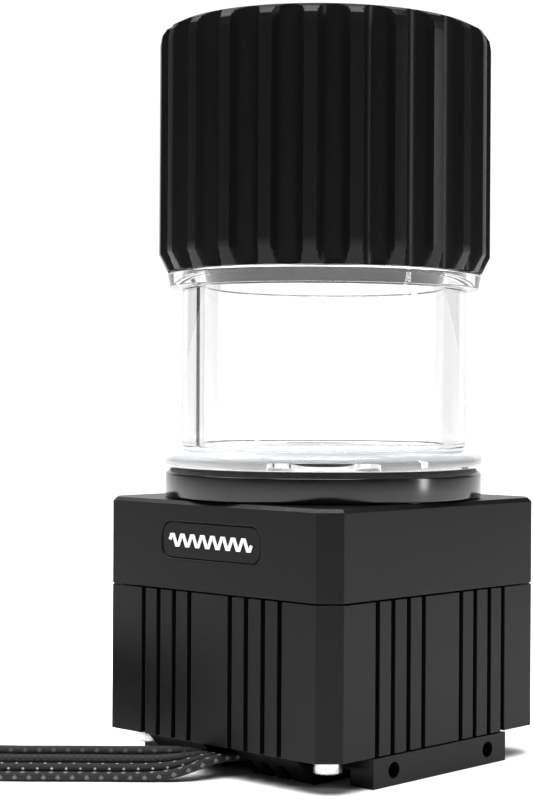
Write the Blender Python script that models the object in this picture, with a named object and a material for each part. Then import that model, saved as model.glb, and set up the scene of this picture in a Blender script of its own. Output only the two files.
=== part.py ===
"""Pump and reservoir unit: a square finned pump with a clear screw-capped reservoir standing on it.

Every piece is one closed solid. Lengths are metres, +Z is up and the floor is Z = 0. The face
with the badge looks along -Y and the two mounting rails run under the -X and +X faces. The cap,
the fill plug and the rotor all turn about the Z axis, where their origins are.
"""

import math

import bmesh
import bpy
from mathutils import Matrix, Vector

SEAT_GAP = 0.0003

# Square body, from the floor up.
BODY_HALF = 0.0327
BODY_CHAMFER = 0.0037
BASE_TOP = 0.0058
HOUSING_BOTTOM = BASE_TOP + SEAT_GAP
HOUSING_TOP = 0.0358
PUMP_TOP_BOTTOM = HOUSING_TOP + SEAT_GAP
DECK = 0.0539
DECK_BEVEL = 0.0008

# Cooling slots in the four housing faces, measured from each face's centre line.
SLOT_OFFSETS = (0.0058, 0.0103, 0.0149, 0.0194)
SLOT_WIDTH = 0.0012
SLOT_DEPTH = 0.0025

# Finned base plate with its two mounting rails.
BASE_PLATE_BOTTOM = 0.0032
BASE_FIN_HALF_X = 0.0210
BASE_FIN_HALF_Y = 0.0302
BASE_FIN_GAP = 0.0020
BASE_CHANNELS = 3
RAIL_HALF_LENGTH = 0.0204
RAIL_WIDTH = 0.0060
RAIL_HOLE_RADIUS = 0.00165
RAIL_HOLE_OFFSET = 0.0145
RAIL_HOLE_DEPTH = 0.0045
RAIL_HOLE_Z = 0.00295
WIRE_NOTCH_HALF = 0.0046
WIRE_NOTCH_END_Y = -0.0140

# Socket cap screws that clamp the housing to the pump top, and countersunk screws of the base.
CORNER_SCREW_OFFSET = 0.0253
CORNER_HEAD_RADIUS = 0.0028
CORNER_HEAD_HEIGHT = 0.0030
CORNER_SHANK_RADIUS = 0.0015
CORNER_SHANK_TOP = 0.0450
CORNER_HEX_RADIUS = 0.00145
CORNER_HEX_DEPTH = 0.0016
BASE_SCREW_X = 0.0246
BASE_SCREW_Y = 0.0176
BASE_HEAD_RADIUS = 0.0021
BASE_HEAD_HEIGHT = 0.0011
BASE_SHANK_RADIUS = 0.00115
BASE_SHANK_TOP = 0.0130
SCREW_CLEARANCE = 0.0002

# Motor inside the housing.
HOUSING_BORE = 0.0280
SHELL_RADIUS = 0.0275
SHELL_WALL = 0.0016
SHELL_BOTTOM = 0.0077
SHELL_TOP = 0.0345
SHELL_WINDOW_HALF = 0.0049
SHELL_WINDOW_Y = (-0.0230, -0.0150)
GROMMET_TOP = 0.0104
GROMMET_SLOT_HALF = (0.0040, 0.0013)
CAN_FLANGE_BOTTOM = 0.0349
CAN_FLANGE_TOP = 0.0357
CAN_OUTER = 0.0128
CAN_INNER = 0.0123
CAN_FLOOR = 0.0146
CAN_WALL = 0.0008
POST_RADIUS = 0.0015
POST_FOOT_RADIUS = 0.0032
POST_FOOT_HEIGHT = 0.0012
POST_TOP = 0.0380
CORE_OUTER = 0.0254
CORE_YOKE = 0.0215
CORE_TIP = 0.0134
CORE_BOTTOM = 0.0180
CORE_TOP = 0.0280
TOOTH_COUNT = 6
TOOTH_WIDTH = 0.0060
WINDING_THICKNESS = 0.0020
WINDING_START = CORE_TIP + 0.0010
WINDING_END = CORE_YOKE - 0.0012
WINDING_CORNER = 0.0004
BOARD_RADIUS = 0.0252
BOARD_BOTTOM = 0.0112
BOARD_THICKNESS = 0.0016
CHIP_LOW = (0.0040, -0.0035)
CHIP_HIGH = (0.0110, 0.0035)
CHIP_HEIGHT = 0.0012
PAD_RADIUS = 0.0260
PAD_THICKNESS = 0.0013
PAD_NOTCH_HALF = 0.0052

# Rotor: magnet ring and impeller on one hub.
RUNNING_CLEARANCE = 0.00005
MAGNET_OUTER = 0.0117
MAGNET_BOTTOM = 0.0176
MAGNET_TOP = 0.0335
HUB_RADIUS = 0.0039
HUB_NOSE = 0.0012
HUB_TOP = 0.0396
DISC_RADIUS = 0.0185
DISC_BOTTOM = 0.0365
DISC_TOP = 0.0377
VANE_COUNT = 6
VANE_THICKNESS = 0.0010
VANE_START = 0.0052
VANE_TOP = 0.0415
VANE_SWEEP = 0.75
VANE_STEPS = 6

# Chambers and ports of the pump top.
VOLUTE_RADIUS = 0.0205
VOLUTE_TOP = 0.0425
EYE_RADIUS = 0.0060
PORT_RADIUS = 0.0059
PORT_DEPTH = 0.0100
PORT_Z = 0.0433
OUTLET_X = 0.0120
OUTLET_DUCT_RADIUS = 0.0024
OUTLET_DUCT_Z = 0.0399
RETURN_Y = 0.0060
RETURN_DUCT_RADIUS = 0.0027
RETURN_DUCT_Z = 0.0463
RISER_X = -0.0182
RISER_RADIUS = 0.0031
RISER_BOTTOM = 0.0437
RECESS_RADIUS = 0.0305
RECESS_FLOOR = 0.0501

# Seals: centre-line radius, and the radius of the round section.
SEAL_SECTION = 0.00085
SEAL_CLEARANCE = 0.0002
SEAL_LIFT = 0.00005
PUMP_SEAL_RADIUS = 0.0260
COLLAR_SEAL_RADIUS = 0.0280
FOOT_SEAL_RADIUS = 0.0271
FOOT_SEAL_SECTION = 0.00075
FILL_SEAL_RADIUS = 0.0072
FILL_SEAL_SECTION = 0.00055
PLUG_SEAL_SECTION = 0.00100
PLUG_SEAL_HEIGHTS = (0.1075, 0.1135)

# Reservoir: black collar, clear tube with its foot flange and the shoulder that the cap seats on.
COLLAR_RADIUS = 0.0330
COLLAR_BOTTOM = DECK + SEAT_GAP
COLLAR_SHOULDER = 0.0600
COLLAR_BEVEL = 0.0011
COLLAR_BORE = 0.0190
FOOT_GROOVE = (0.0262, 0.0280)
FOOT_GROOVE_DEPTH = 0.0013
TUBE_OUTER = 0.0297
TUBE_INNER = 0.0253
TUBE_BOTTOM = COLLAR_SHOULDER + SEAT_GAP
TUBE_TOP = 0.1432
TUBE_RIM_BEVEL = 0.0005
SHOULDER_RADIUS = 0.0328
SHOULDER_EDGE_RADIUS = 0.0322
SHOULDER_BOTTOM = 0.0973
FOOT_RADIUS = 0.0332
FLOOR_TOP = 0.0619
FLOOR_HOLE = 0.0080
WAIST = ((0.0000, 0.0653), (0.0003, 0.0646), (0.0008, 0.0642))  # drawn in from the wall, height
FOOT_ROUND = ((0.0040, 0.0640), (0.0012, 0.0632), (0.0002, 0.0624), (0.0000, 0.0618))

# Fluted screw cap, its plug inside the tube and the fill plug in its top.
CAP_RADIUS = 0.0346
CAP_BOTTOM = 0.1006
CAP_TOP = 0.15115
CAP_TOP_RIM = 0.0315
CAP_TOP_ROUND = ((0.0335, 0.0010), (0.0343, 0.0022), (CAP_RADIUS, 0.0040))  # radius, drop below it
CAP_LIP_RADIUS = 0.0329
CAP_LIP_CHAMFER = 0.0034
CAP_BORE = 0.0300
CAP_CEILING = 0.1440
FLUTE_COUNT = 24
FLUTE_RADIUS = 0.0030
FLUTE_PHASE_DEG = -44.2
BOSS_OUTER = 0.0212
BOSS_INNER = 0.0178
BOSS_BOTTOM = 0.1365
PLUG_RADIUS = 0.0248
PLUG_BOTTOM = 0.1009
PLUG_TOP = 0.1435
PLUG_EDGE_BEVEL = 0.0005
PLUG_WALL = 0.0033
PLUG_FLOOR = 0.0036
PLUG_STEM_OUTER = 0.0090
PLUG_GROOVE_DEPTH = 0.0018
PLUG_GROOVE_HALF = 0.0012
FILL_BORE = 0.0059
FILL_SHANK_RADIUS = 0.0057
FILL_HEAD_RADIUS = 0.0095
FILL_HEAD_THICKNESS = 0.0013
FILL_SEAT_DEPTH = 0.0026
FILL_HEX_RADIUS = 0.0035
FILL_HEX_DEPTH = 0.0030
FILL_EDGE_BEVEL = 0.0003
FILL_TIP_BEVEL = 0.0006

# Badge recess and its plate on the -Y face.
BADGE_HALF_LENGTH = 0.0140
BADGE_HALF_HEIGHT = 0.00365
BADGE_CORNER = 0.0026
BADGE_Z = 0.0460
BADGE_DEPTH = 0.0010
BADGE_CLEARANCE = 0.0002
BADGE_PLATE_THICKNESS = 0.0007
WAVE_PERIODS = 8
WAVE_STEPS = 6
WAVE_HALF_LENGTH = 0.0116
WAVE_AMPLITUDE = 0.0013
WAVE_STROKE = 0.0007
WAVE_THICKNESS = 0.0002

# Four leads leaving under the badge face, wound up in a tied coil with two connectors.
LEAD_COUNT = 4
LEAD_RADIUS = 0.0009
LEAD_PITCH = 0.00188
ROUTE = (
    # x, y, z of the middle of the row of leads; heading and lean of the row, in degrees
    (0.0, -0.0190, 0.0107, -90.0, 0.0),
    (0.0, -0.0190, 0.0078, -90.0, 0.0),
    (0.0, -0.0199, 0.0051, -90.0, 0.0),
    (0.0, -0.0225, 0.0036, -90.0, 0.0),
    (0.0, -0.0266, 0.0034, -90.0, 0.0),
    (0.0, -0.0312, 0.0038, -91.0, 0.0),
    (-0.0005, -0.0352, 0.0039, -103.0, 13.0),
    (-0.0021, -0.0389, 0.0035, -123.0, 36.0),
    (-0.0050, -0.0422, 0.00322, -135.0, 49.0),
    (-0.0095, -0.0463, 0.00316, -138.6, 52.0),
    (-0.0186, -0.0543, 0.00316, -138.6, 52.0),
    (-0.0277, -0.0623, 0.00316, -138.6, 52.0),
    (-0.0371, -0.0706, 0.00316, -138.6, 52.0),
)
ROUTE_STEPS = 2
COIL_CENTRE = (-0.0563, -0.0691)
COIL_TURN_DEG = 41.4
COIL_RADIUS = 0.0110
COIL_HALF_WIDTH = 0.0042
COIL_HALF_HEIGHT = 0.0037
COIL_MIDDLE = 0.0043
TIE_THICKNESS = 0.0005
TIE_HALF_LENGTH = 0.0015
TIE_CLEARANCE = (0.0003, 0.0001)
TIE_ANGLE_DEG = 10.0

# Connectors on top of the coil: size, place from the coil's centre in the coil's own directions.
POWER_PLUG_SIZE = (0.0210, 0.0200, 0.0080)
POWER_PLUG_PLACE = (-0.0024, 0.0125)
POWER_PLUG_TURN_DEG = 0.0
POWER_SOCKET_RADIUS = 0.0017
SIGNAL_PLUG_SIZE = (0.0104, 0.0140, 0.0060)
SIGNAL_PLUG_PLACE = (-0.0120, -0.0082)
SIGNAL_PLUG_TURN_DEG = 90.0
SIGNAL_SOCKET_RADIUS = 0.0007
PLUG_SOCKETS = 4
PLUG_FLOOR_Z = 0.0088

# How finely curves are cut into flats, and how far a cutter runs past the face it opens.
FULL_STEPS = 48
RING_STEPS = 32
PORT_STEPS = 24
SMALL_STEPS = 16
HOLE_STEPS = 12
SECTION_STEPS = 6
OVERRUN = 0.0020
SMOOTH_ANGLE = math.radians(32.0)

LOOKS = {
    # name: colour, roughness, metallic
    "black_anodised": ((0.012, 0.012, 0.013), 0.38, 0.6),
    "black_gloss": ((0.008, 0.008, 0.009), 0.12, 0.0),
    "clear_acrylic": ((0.93, 0.95, 0.95), 0.03, 0.0),
    "black_rubber": ((0.015, 0.015, 0.015), 0.75, 0.0),
    "white_print": ((0.85, 0.85, 0.85), 0.5, 0.0),
    "steel": ((0.72, 0.72, 0.72), 0.25, 1.0),
    "motor_plastic": ((0.03, 0.03, 0.03), 0.5, 0.0),
    "impeller_plastic": ((0.55, 0.56, 0.58), 0.45, 0.0),
    "magnet": ((0.08, 0.08, 0.09), 0.6, 0.3),
    "ceramic": ((0.85, 0.83, 0.78), 0.2, 0.0),
    "lamination": ((0.35, 0.35, 0.36), 0.45, 0.9),
    "copper": ((0.72, 0.33, 0.13), 0.35, 1.0),
    "board": ((0.02, 0.12, 0.05), 0.45, 0.0),
    "pad": ((0.45, 0.50, 0.62), 0.9, 0.0),
    "braid": ((0.02, 0.02, 0.022), 0.7, 0.0),
}


# ---- Tools: each adds one closed shape to a bmesh and returns the vertices that it made ----


def add_box(work, low, high):
    low, high = Vector(low), Vector(high)
    place = Matrix.Translation((low + high) / 2) @ Matrix.Diagonal((*(high - low), 1.0))
    return bmesh.ops.create_cube(work, size=1.0, matrix=place)["verts"]


def add_rod(work, start, end, radius, steps, end_radius=None):
    """A round rod between two points, or a cone where the radii differ."""
    start, end = Vector(start), Vector(end)
    along = end - start
    place = Matrix.Translation((start + end) / 2) @ along.to_track_quat("Z", "Y").to_matrix().to_4x4()
    made = bmesh.ops.create_cone(
        work,
        cap_ends=True,
        segments=steps,
        radius1=radius,
        radius2=radius if end_radius is None else end_radius,
        depth=along.length,
        matrix=place,
    )
    return made["verts"]


def add_prism(work, outline, rise):
    """A flat outline of 3-D points, extruded by the vector rise."""
    base = [work.verts.new(p) for p in outline]
    face = work.faces.new(base)
    made = bmesh.ops.extrude_face_region(work, geom=[face], use_keep_orig=True)["geom"]
    top = [v for v in made if isinstance(v, bmesh.types.BMVert)]
    bmesh.ops.translate(work, verts=top, vec=rise)
    return base + top


def add_turned(work, profile, steps, first_angle=0.0):
    """A (radius, z) profile spun about the Z axis. One that meets the axis starts and ends on it."""
    turn = Matrix.Rotation(first_angle, 3, "Z")
    points = [work.verts.new(turn @ Vector((radius, 0.0, z))) for radius, z in profile]
    on_axis = profile[0][0] == 0.0
    following = points[1:] if on_axis else points[1:] + points[:1]
    edges = [work.edges.new(pair) for pair in zip(points, following)]
    bmesh.ops.spin(
        work,
        geom=points + edges,
        cent=(0, 0, 0),
        axis=(0, 0, 1),
        angle=2 * math.pi,
        steps=steps,
        use_merge=True,
    )
    bmesh.ops.remove_doubles(work, verts=work.verts, dist=1e-6)
    return list(work.verts)


def add_loft(work, loops, closed=False):
    """A skin over a row of loops of equal length, capped at both ends unless the row is closed."""
    rings = [[work.verts.new(p) for p in loop] for loop in loops]
    following = rings[1:] + rings[:1] if closed else rings[1:]
    for low, high in zip(rings, following):
        for a, b, c, d in zip(low, low[1:] + low[:1], high[1:] + high[:1], high):
            work.faces.new((a, b, c, d))
    if not closed:
        work.faces.new(rings[0])
        work.faces.new(rings[-1])
    return [v for ring in rings for v in ring]


def turn_verts(work, verts, angle, centre=(0.0, 0.0)):
    bmesh.ops.rotate(
        work, verts=verts, cent=(*centre, 0.0), matrix=Matrix.Rotation(angle, 3, "Z")
    )


def repeat_round(work, count):
    """Repeats everything in the bmesh at equal turns about the Z axis."""
    bmesh.ops.spin(
        work,
        geom=work.verts[:] + work.edges[:] + work.faces[:],
        cent=(0, 0, 0),
        axis=(0, 0, 1),
        angle=2 * math.pi * (count - 1) / count,
        steps=count - 1,
        use_duplicate=True,
    )


def bevel_edges(work, chosen, offset, segments=1):
    edges = [edge for edge in work.edges if chosen(edge)]
    bmesh.ops.bevel(work, geom=edges, offset=offset, segments=segments, profile=0.5, affect="EDGES")


def runs_along(axis):
    """A test for edges that run along the given axis: 0, 1 or 2."""

    def test(edge):
        span = edge.verts[0].co - edge.verts[1].co
        return abs(span[axis]) > 0.999 * span.length

    return test


def ring_profile(radius, z, half_width, half_height, steps=SECTION_STEPS):
    turns = [2 * math.pi * k / steps for k in range(steps)]
    return [(radius + half_width * math.cos(a), z + half_height * math.sin(a)) for a in turns]


def corner_points(x, y):
    return [(sx * x, sy * y) for sx in (1, -1) for sy in (1, -1)]


# ---- Objects ----


def clear_scene():
    for obj in list(bpy.data.objects):
        bpy.data.objects.remove(obj)


def material(name):
    found = bpy.data.materials.get(name)
    if found:
        return found
    colour, roughness, metallic = LOOKS[name]
    made = bpy.data.materials.new(name)
    made.use_nodes = True
    shader = made.node_tree.nodes["Principled BSDF"]
    shader.inputs["Base Color"].default_value = (*colour, 1.0)
    shader.inputs["Roughness"].default_value = roughness
    shader.inputs["Metallic"].default_value = metallic
    return made


def add_object(name, work, look=None):
    """Turns a bmesh into an object, with its faces facing out."""
    bmesh.ops.recalc_face_normals(work, faces=work.faces)
    mesh = bpy.data.meshes.new(name)
    work.to_mesh(mesh)
    work.free()
    obj = bpy.data.objects.new(name, mesh)
    bpy.context.collection.objects.link(obj)
    if look:
        mesh.materials.append(material(look))
    return obj


def shade(obj):
    obj.data.shade_smooth()
    obj.data.set_sharp_from_angle(angle=SMOOTH_ANGLE)


def turned_object(name, profile, look, steps=RING_STEPS):
    work = bmesh.new()
    add_turned(work, profile, steps)
    obj = add_object(name, work, look)
    shade(obj)
    return obj


def combine(obj, work, operation="DIFFERENCE"):
    """Cuts the bmesh's shapes from the object, or joins them to it."""
    tool = add_object("tool", work)
    modifier = obj.modifiers.new("combine", "BOOLEAN")
    modifier.operation = operation
    modifier.solver = "EXACT"
    modifier.object = tool
    graph = bpy.context.evaluated_depsgraph_get()
    result = bpy.data.meshes.new_from_object(obj.evaluated_get(graph))
    obj.modifiers.clear()
    before = obj.data
    obj.data = result
    bpy.data.meshes.remove(before)
    bpy.data.objects.remove(tool)
    return obj


# ---- Base and housing ----


def heatsink_housing():
    work = bmesh.new()
    add_box(work, (-BODY_HALF, -BODY_HALF, HOUSING_BOTTOM), (BODY_HALF, BODY_HALF, HOUSING_TOP))
    bevel_edges(work, runs_along(2), BODY_CHAMFER)
    obj = add_object("heatsink_housing", work, "black_anodised")
    below, above = HOUSING_BOTTOM - OVERRUN, HOUSING_TOP + OVERRUN
    slots = bmesh.new()
    for side in (-1, 1):
        for offset in SLOT_OFFSETS:
            low_y = side * offset - SLOT_WIDTH / 2
            low = (BODY_HALF - SLOT_DEPTH, low_y, below)
            add_box(slots, low, (BODY_HALF + OVERRUN, low_y + SLOT_WIDTH, above))
    repeat_round(slots, 4)
    combine(obj, slots)
    bores = bmesh.new()
    add_rod(bores, (0, 0, below), (0, 0, above), HOUSING_BORE, FULL_STEPS)
    for x, y in corner_points(CORNER_SCREW_OFFSET, CORNER_SCREW_OFFSET):
        add_rod(bores, (x, y, below), (x, y, above), CORNER_SHANK_RADIUS + SCREW_CLEARANCE, HOLE_STEPS)
    for x, y in corner_points(BASE_SCREW_X, BASE_SCREW_Y):
        top = (x, y, BASE_SHANK_TOP + SEAT_GAP)
        add_rod(bores, (x, y, below), top, BASE_SHANK_RADIUS + SCREW_CLEARANCE, HOLE_STEPS)
    return combine(obj, bores)


def base_outline():
    """Cross of the wide arm that carries the rails and the long arm that carries the fins."""
    quarter = (
        (BODY_HALF, RAIL_HALF_LENGTH),
        (BASE_FIN_HALF_X, RAIL_HALF_LENGTH),
        (BASE_FIN_HALF_X, BASE_FIN_HALF_Y),
    )
    back = quarter[::-1]
    outline = list(quarter)
    outline += [(-x, y) for x, y in back]
    outline += [(-x, -y) for x, y in quarter]
    outline += [(x, -y) for x, y in back]
    return [(x, y, 0.0) for x, y in outline]


def base_heatsink():
    """Finned plate: fins run along Y under the middle, a solid rail closes each side."""
    work = bmesh.new()
    add_prism(work, base_outline(), (0, 0, BASE_TOP))
    obj = add_object("base_heatsink", work, "black_anodised")
    base_channels(obj)
    fin_end_slopes(obj)
    notch = bmesh.new()
    end = (WIRE_NOTCH_HALF, WIRE_NOTCH_END_Y, BASE_TOP + OVERRUN)
    add_box(notch, (-WIRE_NOTCH_HALF, -BODY_HALF, -OVERRUN), end)
    combine(obj, notch)
    base_holes(obj)
    return obj


def base_channels(obj):
    channels = bmesh.new()
    for side in (-1, 1):
        for offset in SLOT_OFFSETS[:BASE_CHANNELS]:
            low = (side * offset - BASE_FIN_GAP / 2, -BODY_HALF, -OVERRUN)
            add_box(channels, low, (low[0] + BASE_FIN_GAP, BODY_HALF, BASE_PLATE_BOTTOM))
        near, far = sorted((side * BASE_FIN_HALF_X, side * (BODY_HALF - RAIL_WIDTH)))
        add_box(channels, (near, -BODY_HALF, -OVERRUN), (far, BODY_HALF, BASE_PLATE_BOTTOM))
    combine(obj, channels)


def fin_end_slopes(obj):
    """Both ends of the fins slope inwards at 45 degrees on the way down."""
    slopes = bmesh.new()
    for side in (-1, 1):
        outer, tip = side * (BASE_FIN_HALF_Y + OVERRUN), side * (BASE_FIN_HALF_Y - BASE_TOP - OVERRUN)
        start = -BASE_FIN_HALF_X - OVERRUN
        wedge = ((start, outer, BASE_TOP + OVERRUN), (start, outer, -OVERRUN), (start, tip, -OVERRUN))
        add_prism(slopes, wedge, (2 * (BASE_FIN_HALF_X + OVERRUN), 0, 0))
    combine(obj, slopes)


def base_holes(obj):
    holes = bmesh.new()
    for x, y in corner_points(BASE_SCREW_X, BASE_SCREW_Y):
        low, high = (x, y, BASE_PLATE_BOTTOM - OVERRUN), (x, y, BASE_TOP + OVERRUN)
        add_rod(holes, low, high, BASE_SHANK_RADIUS + SCREW_CLEARANCE, HOLE_STEPS)
    for side in (-1, 1):
        for y in (-RAIL_HOLE_OFFSET, RAIL_HOLE_OFFSET):
            start = (side * (BODY_HALF - RAIL_HOLE_DEPTH), y, RAIL_HOLE_Z)
            end = (side * (BODY_HALF + OVERRUN), y, RAIL_HOLE_Z)
            add_rod(holes, start, end, RAIL_HOLE_RADIUS, HOLE_STEPS)
    combine(obj, holes)
    sinks = bmesh.new()
    reach = BASE_HEAD_HEIGHT + SEAT_GAP
    slope = (BASE_HEAD_RADIUS - BASE_SHANK_RADIUS) / BASE_HEAD_HEIGHT
    mouth = BASE_SHANK_RADIUS + slope * reach + SCREW_CLEARANCE
    for x, y in corner_points(BASE_SCREW_X, BASE_SCREW_Y):
        low, high = (x, y, BASE_PLATE_BOTTOM - SEAT_GAP), (x, y, BASE_PLATE_BOTTOM + reach)
        add_rod(sinks, low, high, mouth + slope * SEAT_GAP, HOLE_STEPS, BASE_SHANK_RADIUS)
    combine(obj, sinks)


def corner_screw(number, x, y):
    """Socket cap screw pointing up, its head under the housing."""
    top = HOUSING_BOTTOM - SCREW_CLEARANCE / 2
    bottom = top - CORNER_HEAD_HEIGHT
    edge = CORNER_HEAD_HEIGHT / 10
    profile = (
        (0.0, bottom),
        (CORNER_HEAD_RADIUS - edge, bottom),
        (CORNER_HEAD_RADIUS, bottom + edge),
        (CORNER_HEAD_RADIUS, top),
        (CORNER_SHANK_RADIUS, top),
        (CORNER_SHANK_RADIUS, CORNER_SHANK_TOP - edge),
        (CORNER_SHANK_RADIUS - edge, CORNER_SHANK_TOP),
        (0.0, CORNER_SHANK_TOP),
    )
    obj = turned_object(f"corner_screw_{number}", profile, "steel", SMALL_STEPS)
    socket = bmesh.new()
    add_rod(socket, (0, 0, bottom - OVERRUN), (0, 0, bottom + CORNER_HEX_DEPTH), CORNER_HEX_RADIUS, 6)
    combine(obj, socket)
    shade(obj)
    obj.location = (x, y, 0.0)


def base_screw(number, x, y):
    """Countersunk screw holding the base to the housing."""
    bottom = BASE_PLATE_BOTTOM
    profile = (
        (0.0, bottom),
        (BASE_HEAD_RADIUS, bottom),
        (BASE_SHANK_RADIUS, bottom + BASE_HEAD_HEIGHT),
        (BASE_SHANK_RADIUS, BASE_SHANK_TOP),
        (0.0, BASE_SHANK_TOP),
    )
    obj = turned_object(f"base_screw_{number}", profile, "steel", HOLE_STEPS)
    obj.location = (x, y, 0.0)


# ---- Pump top with its badge ----


def pump_top():
    work = bmesh.new()
    add_box(work, (-BODY_HALF, -BODY_HALF, PUMP_TOP_BOTTOM), (BODY_HALF, BODY_HALF, DECK))
    bevel_edges(work, runs_along(2), BODY_CHAMFER)
    bevel_edges(work, lambda edge: min(v.co.z for v in edge.verts) > DECK - OVERRUN / 2, DECK_BEVEL)
    obj = add_object("pump_top", work, "black_anodised")
    pump_chambers(obj)
    outlet(obj)
    return_inlet(obj)
    pocket = bmesh.new()
    add_badge(pocket, 0.0, -BODY_HALF - OVERRUN, -BODY_HALF + BADGE_DEPTH)
    combine(obj, pocket)
    return obj


def pump_chambers(obj):
    """Recess for the collar, volute with the suction eye above it, seal groove and screw holes."""
    below = PUMP_TOP_BOTTOM - OVERRUN
    recess = bmesh.new()
    add_rod(recess, (0, 0, RECESS_FLOOR), (0, 0, DECK + OVERRUN), RECESS_RADIUS, FULL_STEPS)
    combine(obj, recess)
    lower = bmesh.new()
    add_rod(lower, (0, 0, below), (0, 0, VOLUTE_TOP), VOLUTE_RADIUS, RING_STEPS)
    for x, y in corner_points(CORNER_SCREW_OFFSET, CORNER_SCREW_OFFSET):
        end = (x, y, CORNER_SHANK_TOP + SEAT_GAP)
        add_rod(lower, (x, y, below), end, CORNER_SHANK_RADIUS + SCREW_CLEARANCE, HOLE_STEPS)
    combine(obj, lower)
    groove = bmesh.new()
    half, roof = SEAL_SECTION + SEAL_CLEARANCE, CAN_FLANGE_TOP + 2 * SEAL_SECTION + SEAL_CLEARANCE
    inner, outer = PUMP_SEAL_RADIUS - half, PUMP_SEAL_RADIUS + half
    add_turned(groove, ((inner, below), (outer, below), (outer, roof), (inner, roof)), RING_STEPS)
    combine(obj, groove)
    eye = bmesh.new()
    add_rod(eye, (0, 0, VOLUTE_TOP - OVERRUN), (0, 0, RECESS_FLOOR + OVERRUN), EYE_RADIUS, PORT_STEPS)
    combine(obj, eye)


def outlet(obj):
    """Port on the +Y face, fed from the side of the volute."""
    start = BODY_HALF - PORT_DEPTH
    mouth = (OUTLET_X, BODY_HALF + OVERRUN, PORT_Z)
    port = bmesh.new()
    add_rod(port, (OUTLET_X, start, PORT_Z), mouth, PORT_RADIUS, PORT_STEPS)
    combine(obj, port)
    duct = bmesh.new()
    inside = (OUTLET_X, VOLUTE_RADIUS / 2, OUTLET_DUCT_Z)
    add_rod(duct, inside, (OUTLET_X, start + OVERRUN, OUTLET_DUCT_Z), OUTLET_DUCT_RADIUS, HOLE_STEPS)
    combine(obj, duct)


def return_inlet(obj):
    """Port on the -X face, with a riser up into the reservoir."""
    start = -BODY_HALF + PORT_DEPTH
    port = bmesh.new()
    outside = (-BODY_HALF - OVERRUN, RETURN_Y, PORT_Z)
    add_rod(port, (start, RETURN_Y, PORT_Z), outside, PORT_RADIUS, PORT_STEPS)
    combine(obj, port)
    duct = bmesh.new()
    duct_start = (start - OVERRUN, RETURN_Y, RETURN_DUCT_Z)
    add_rod(duct, duct_start, (RISER_X, RETURN_Y, RETURN_DUCT_Z), RETURN_DUCT_RADIUS, HOLE_STEPS)
    combine(obj, duct)
    riser = bmesh.new()
    top = (RISER_X, RETURN_Y, RECESS_FLOOR + OVERRUN)
    add_rod(riser, (RISER_X, RETURN_Y, RISER_BOTTOM), top, RISER_RADIUS, HOLE_STEPS)
    combine(obj, riser)


def add_badge(work, smaller, y0, y1):
    """An oblong with rounded corners between two depths, smaller all round by the given amount."""
    half_length, half_height = BADGE_HALF_LENGTH - smaller, BADGE_HALF_HEIGHT - smaller
    add_box(work, (-half_length, y0, BADGE_Z - half_height), (half_length, y1, BADGE_Z + half_height))
    bevel_edges(work, runs_along(1), BADGE_CORNER - smaller, 5)


def badge_plate():
    back = -BODY_HALF + BADGE_DEPTH - SEAL_LIFT
    work = bmesh.new()
    add_badge(work, BADGE_CLEARANCE, back - BADGE_PLATE_THICKNESS, back)
    add_object("badge_plate", work, "black_gloss")
    return back - BADGE_PLATE_THICKNESS


def badge_wave(plate_front):
    """A plain wavy line raised on the badge plate."""
    back = plate_front - SEAL_LIFT
    steps = WAVE_PERIODS * WAVE_STEPS
    steepest = WAVE_AMPLITUDE * math.pi * WAVE_PERIODS / WAVE_HALF_LENGTH
    out = Vector((0.0, -WAVE_THICKNESS, 0.0))
    loops = []
    for k in range(steps + 1):
        turn = 2 * math.pi * WAVE_PERIODS * k / steps
        middle = Vector(
            (WAVE_HALF_LENGTH * (2 * k / steps - 1), back, BADGE_Z + WAVE_AMPLITUDE * math.sin(turn))
        )
        across = Vector((-steepest * math.cos(turn), 0.0, 1.0)).normalized() * WAVE_STROKE / 2
        loops.append([middle - across, middle + across, middle + across + out, middle - across + out])
    work = bmesh.new()
    add_loft(work, loops)
    add_object("badge_wave", work, "white_print")


# ---- Motor and rotor ----


def motor():
    """Steel can with the bearing post, and the stator, windings, board and plastic shell round it."""
    can = (
        (0.0, CAN_FLOOR),
        (CAN_OUTER, CAN_FLOOR),
        (CAN_OUTER, CAN_FLANGE_BOTTOM),
        (SHELL_RADIUS, CAN_FLANGE_BOTTOM),
        (SHELL_RADIUS, CAN_FLANGE_TOP),
        (CAN_INNER, CAN_FLANGE_TOP),
        (CAN_INNER, CAN_FLOOR + CAN_WALL),
        (0.0, CAN_FLOOR + CAN_WALL),
    )
    turned_object("rotor_can", can, "steel")
    foot = CAN_FLOOR + CAN_WALL + SCREW_CLEARANCE
    tip = POST_RADIUS / 3
    post = (
        (0.0, foot),
        (POST_FOOT_RADIUS, foot),
        (POST_FOOT_RADIUS, foot + POST_FOOT_HEIGHT),
        (POST_RADIUS, foot + POST_FOOT_HEIGHT + tip),
        (POST_RADIUS, POST_TOP - tip),
        (POST_RADIUS - tip, POST_TOP),
        (0.0, POST_TOP),
    )
    turned_object("bearing_post", post, "ceramic", SMALL_STEPS)
    stator_core()
    for number in range(TOOTH_COUNT):
        stator_coil(number)
    driver_board()
    motor_shell()
    thermal_pad()


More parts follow.
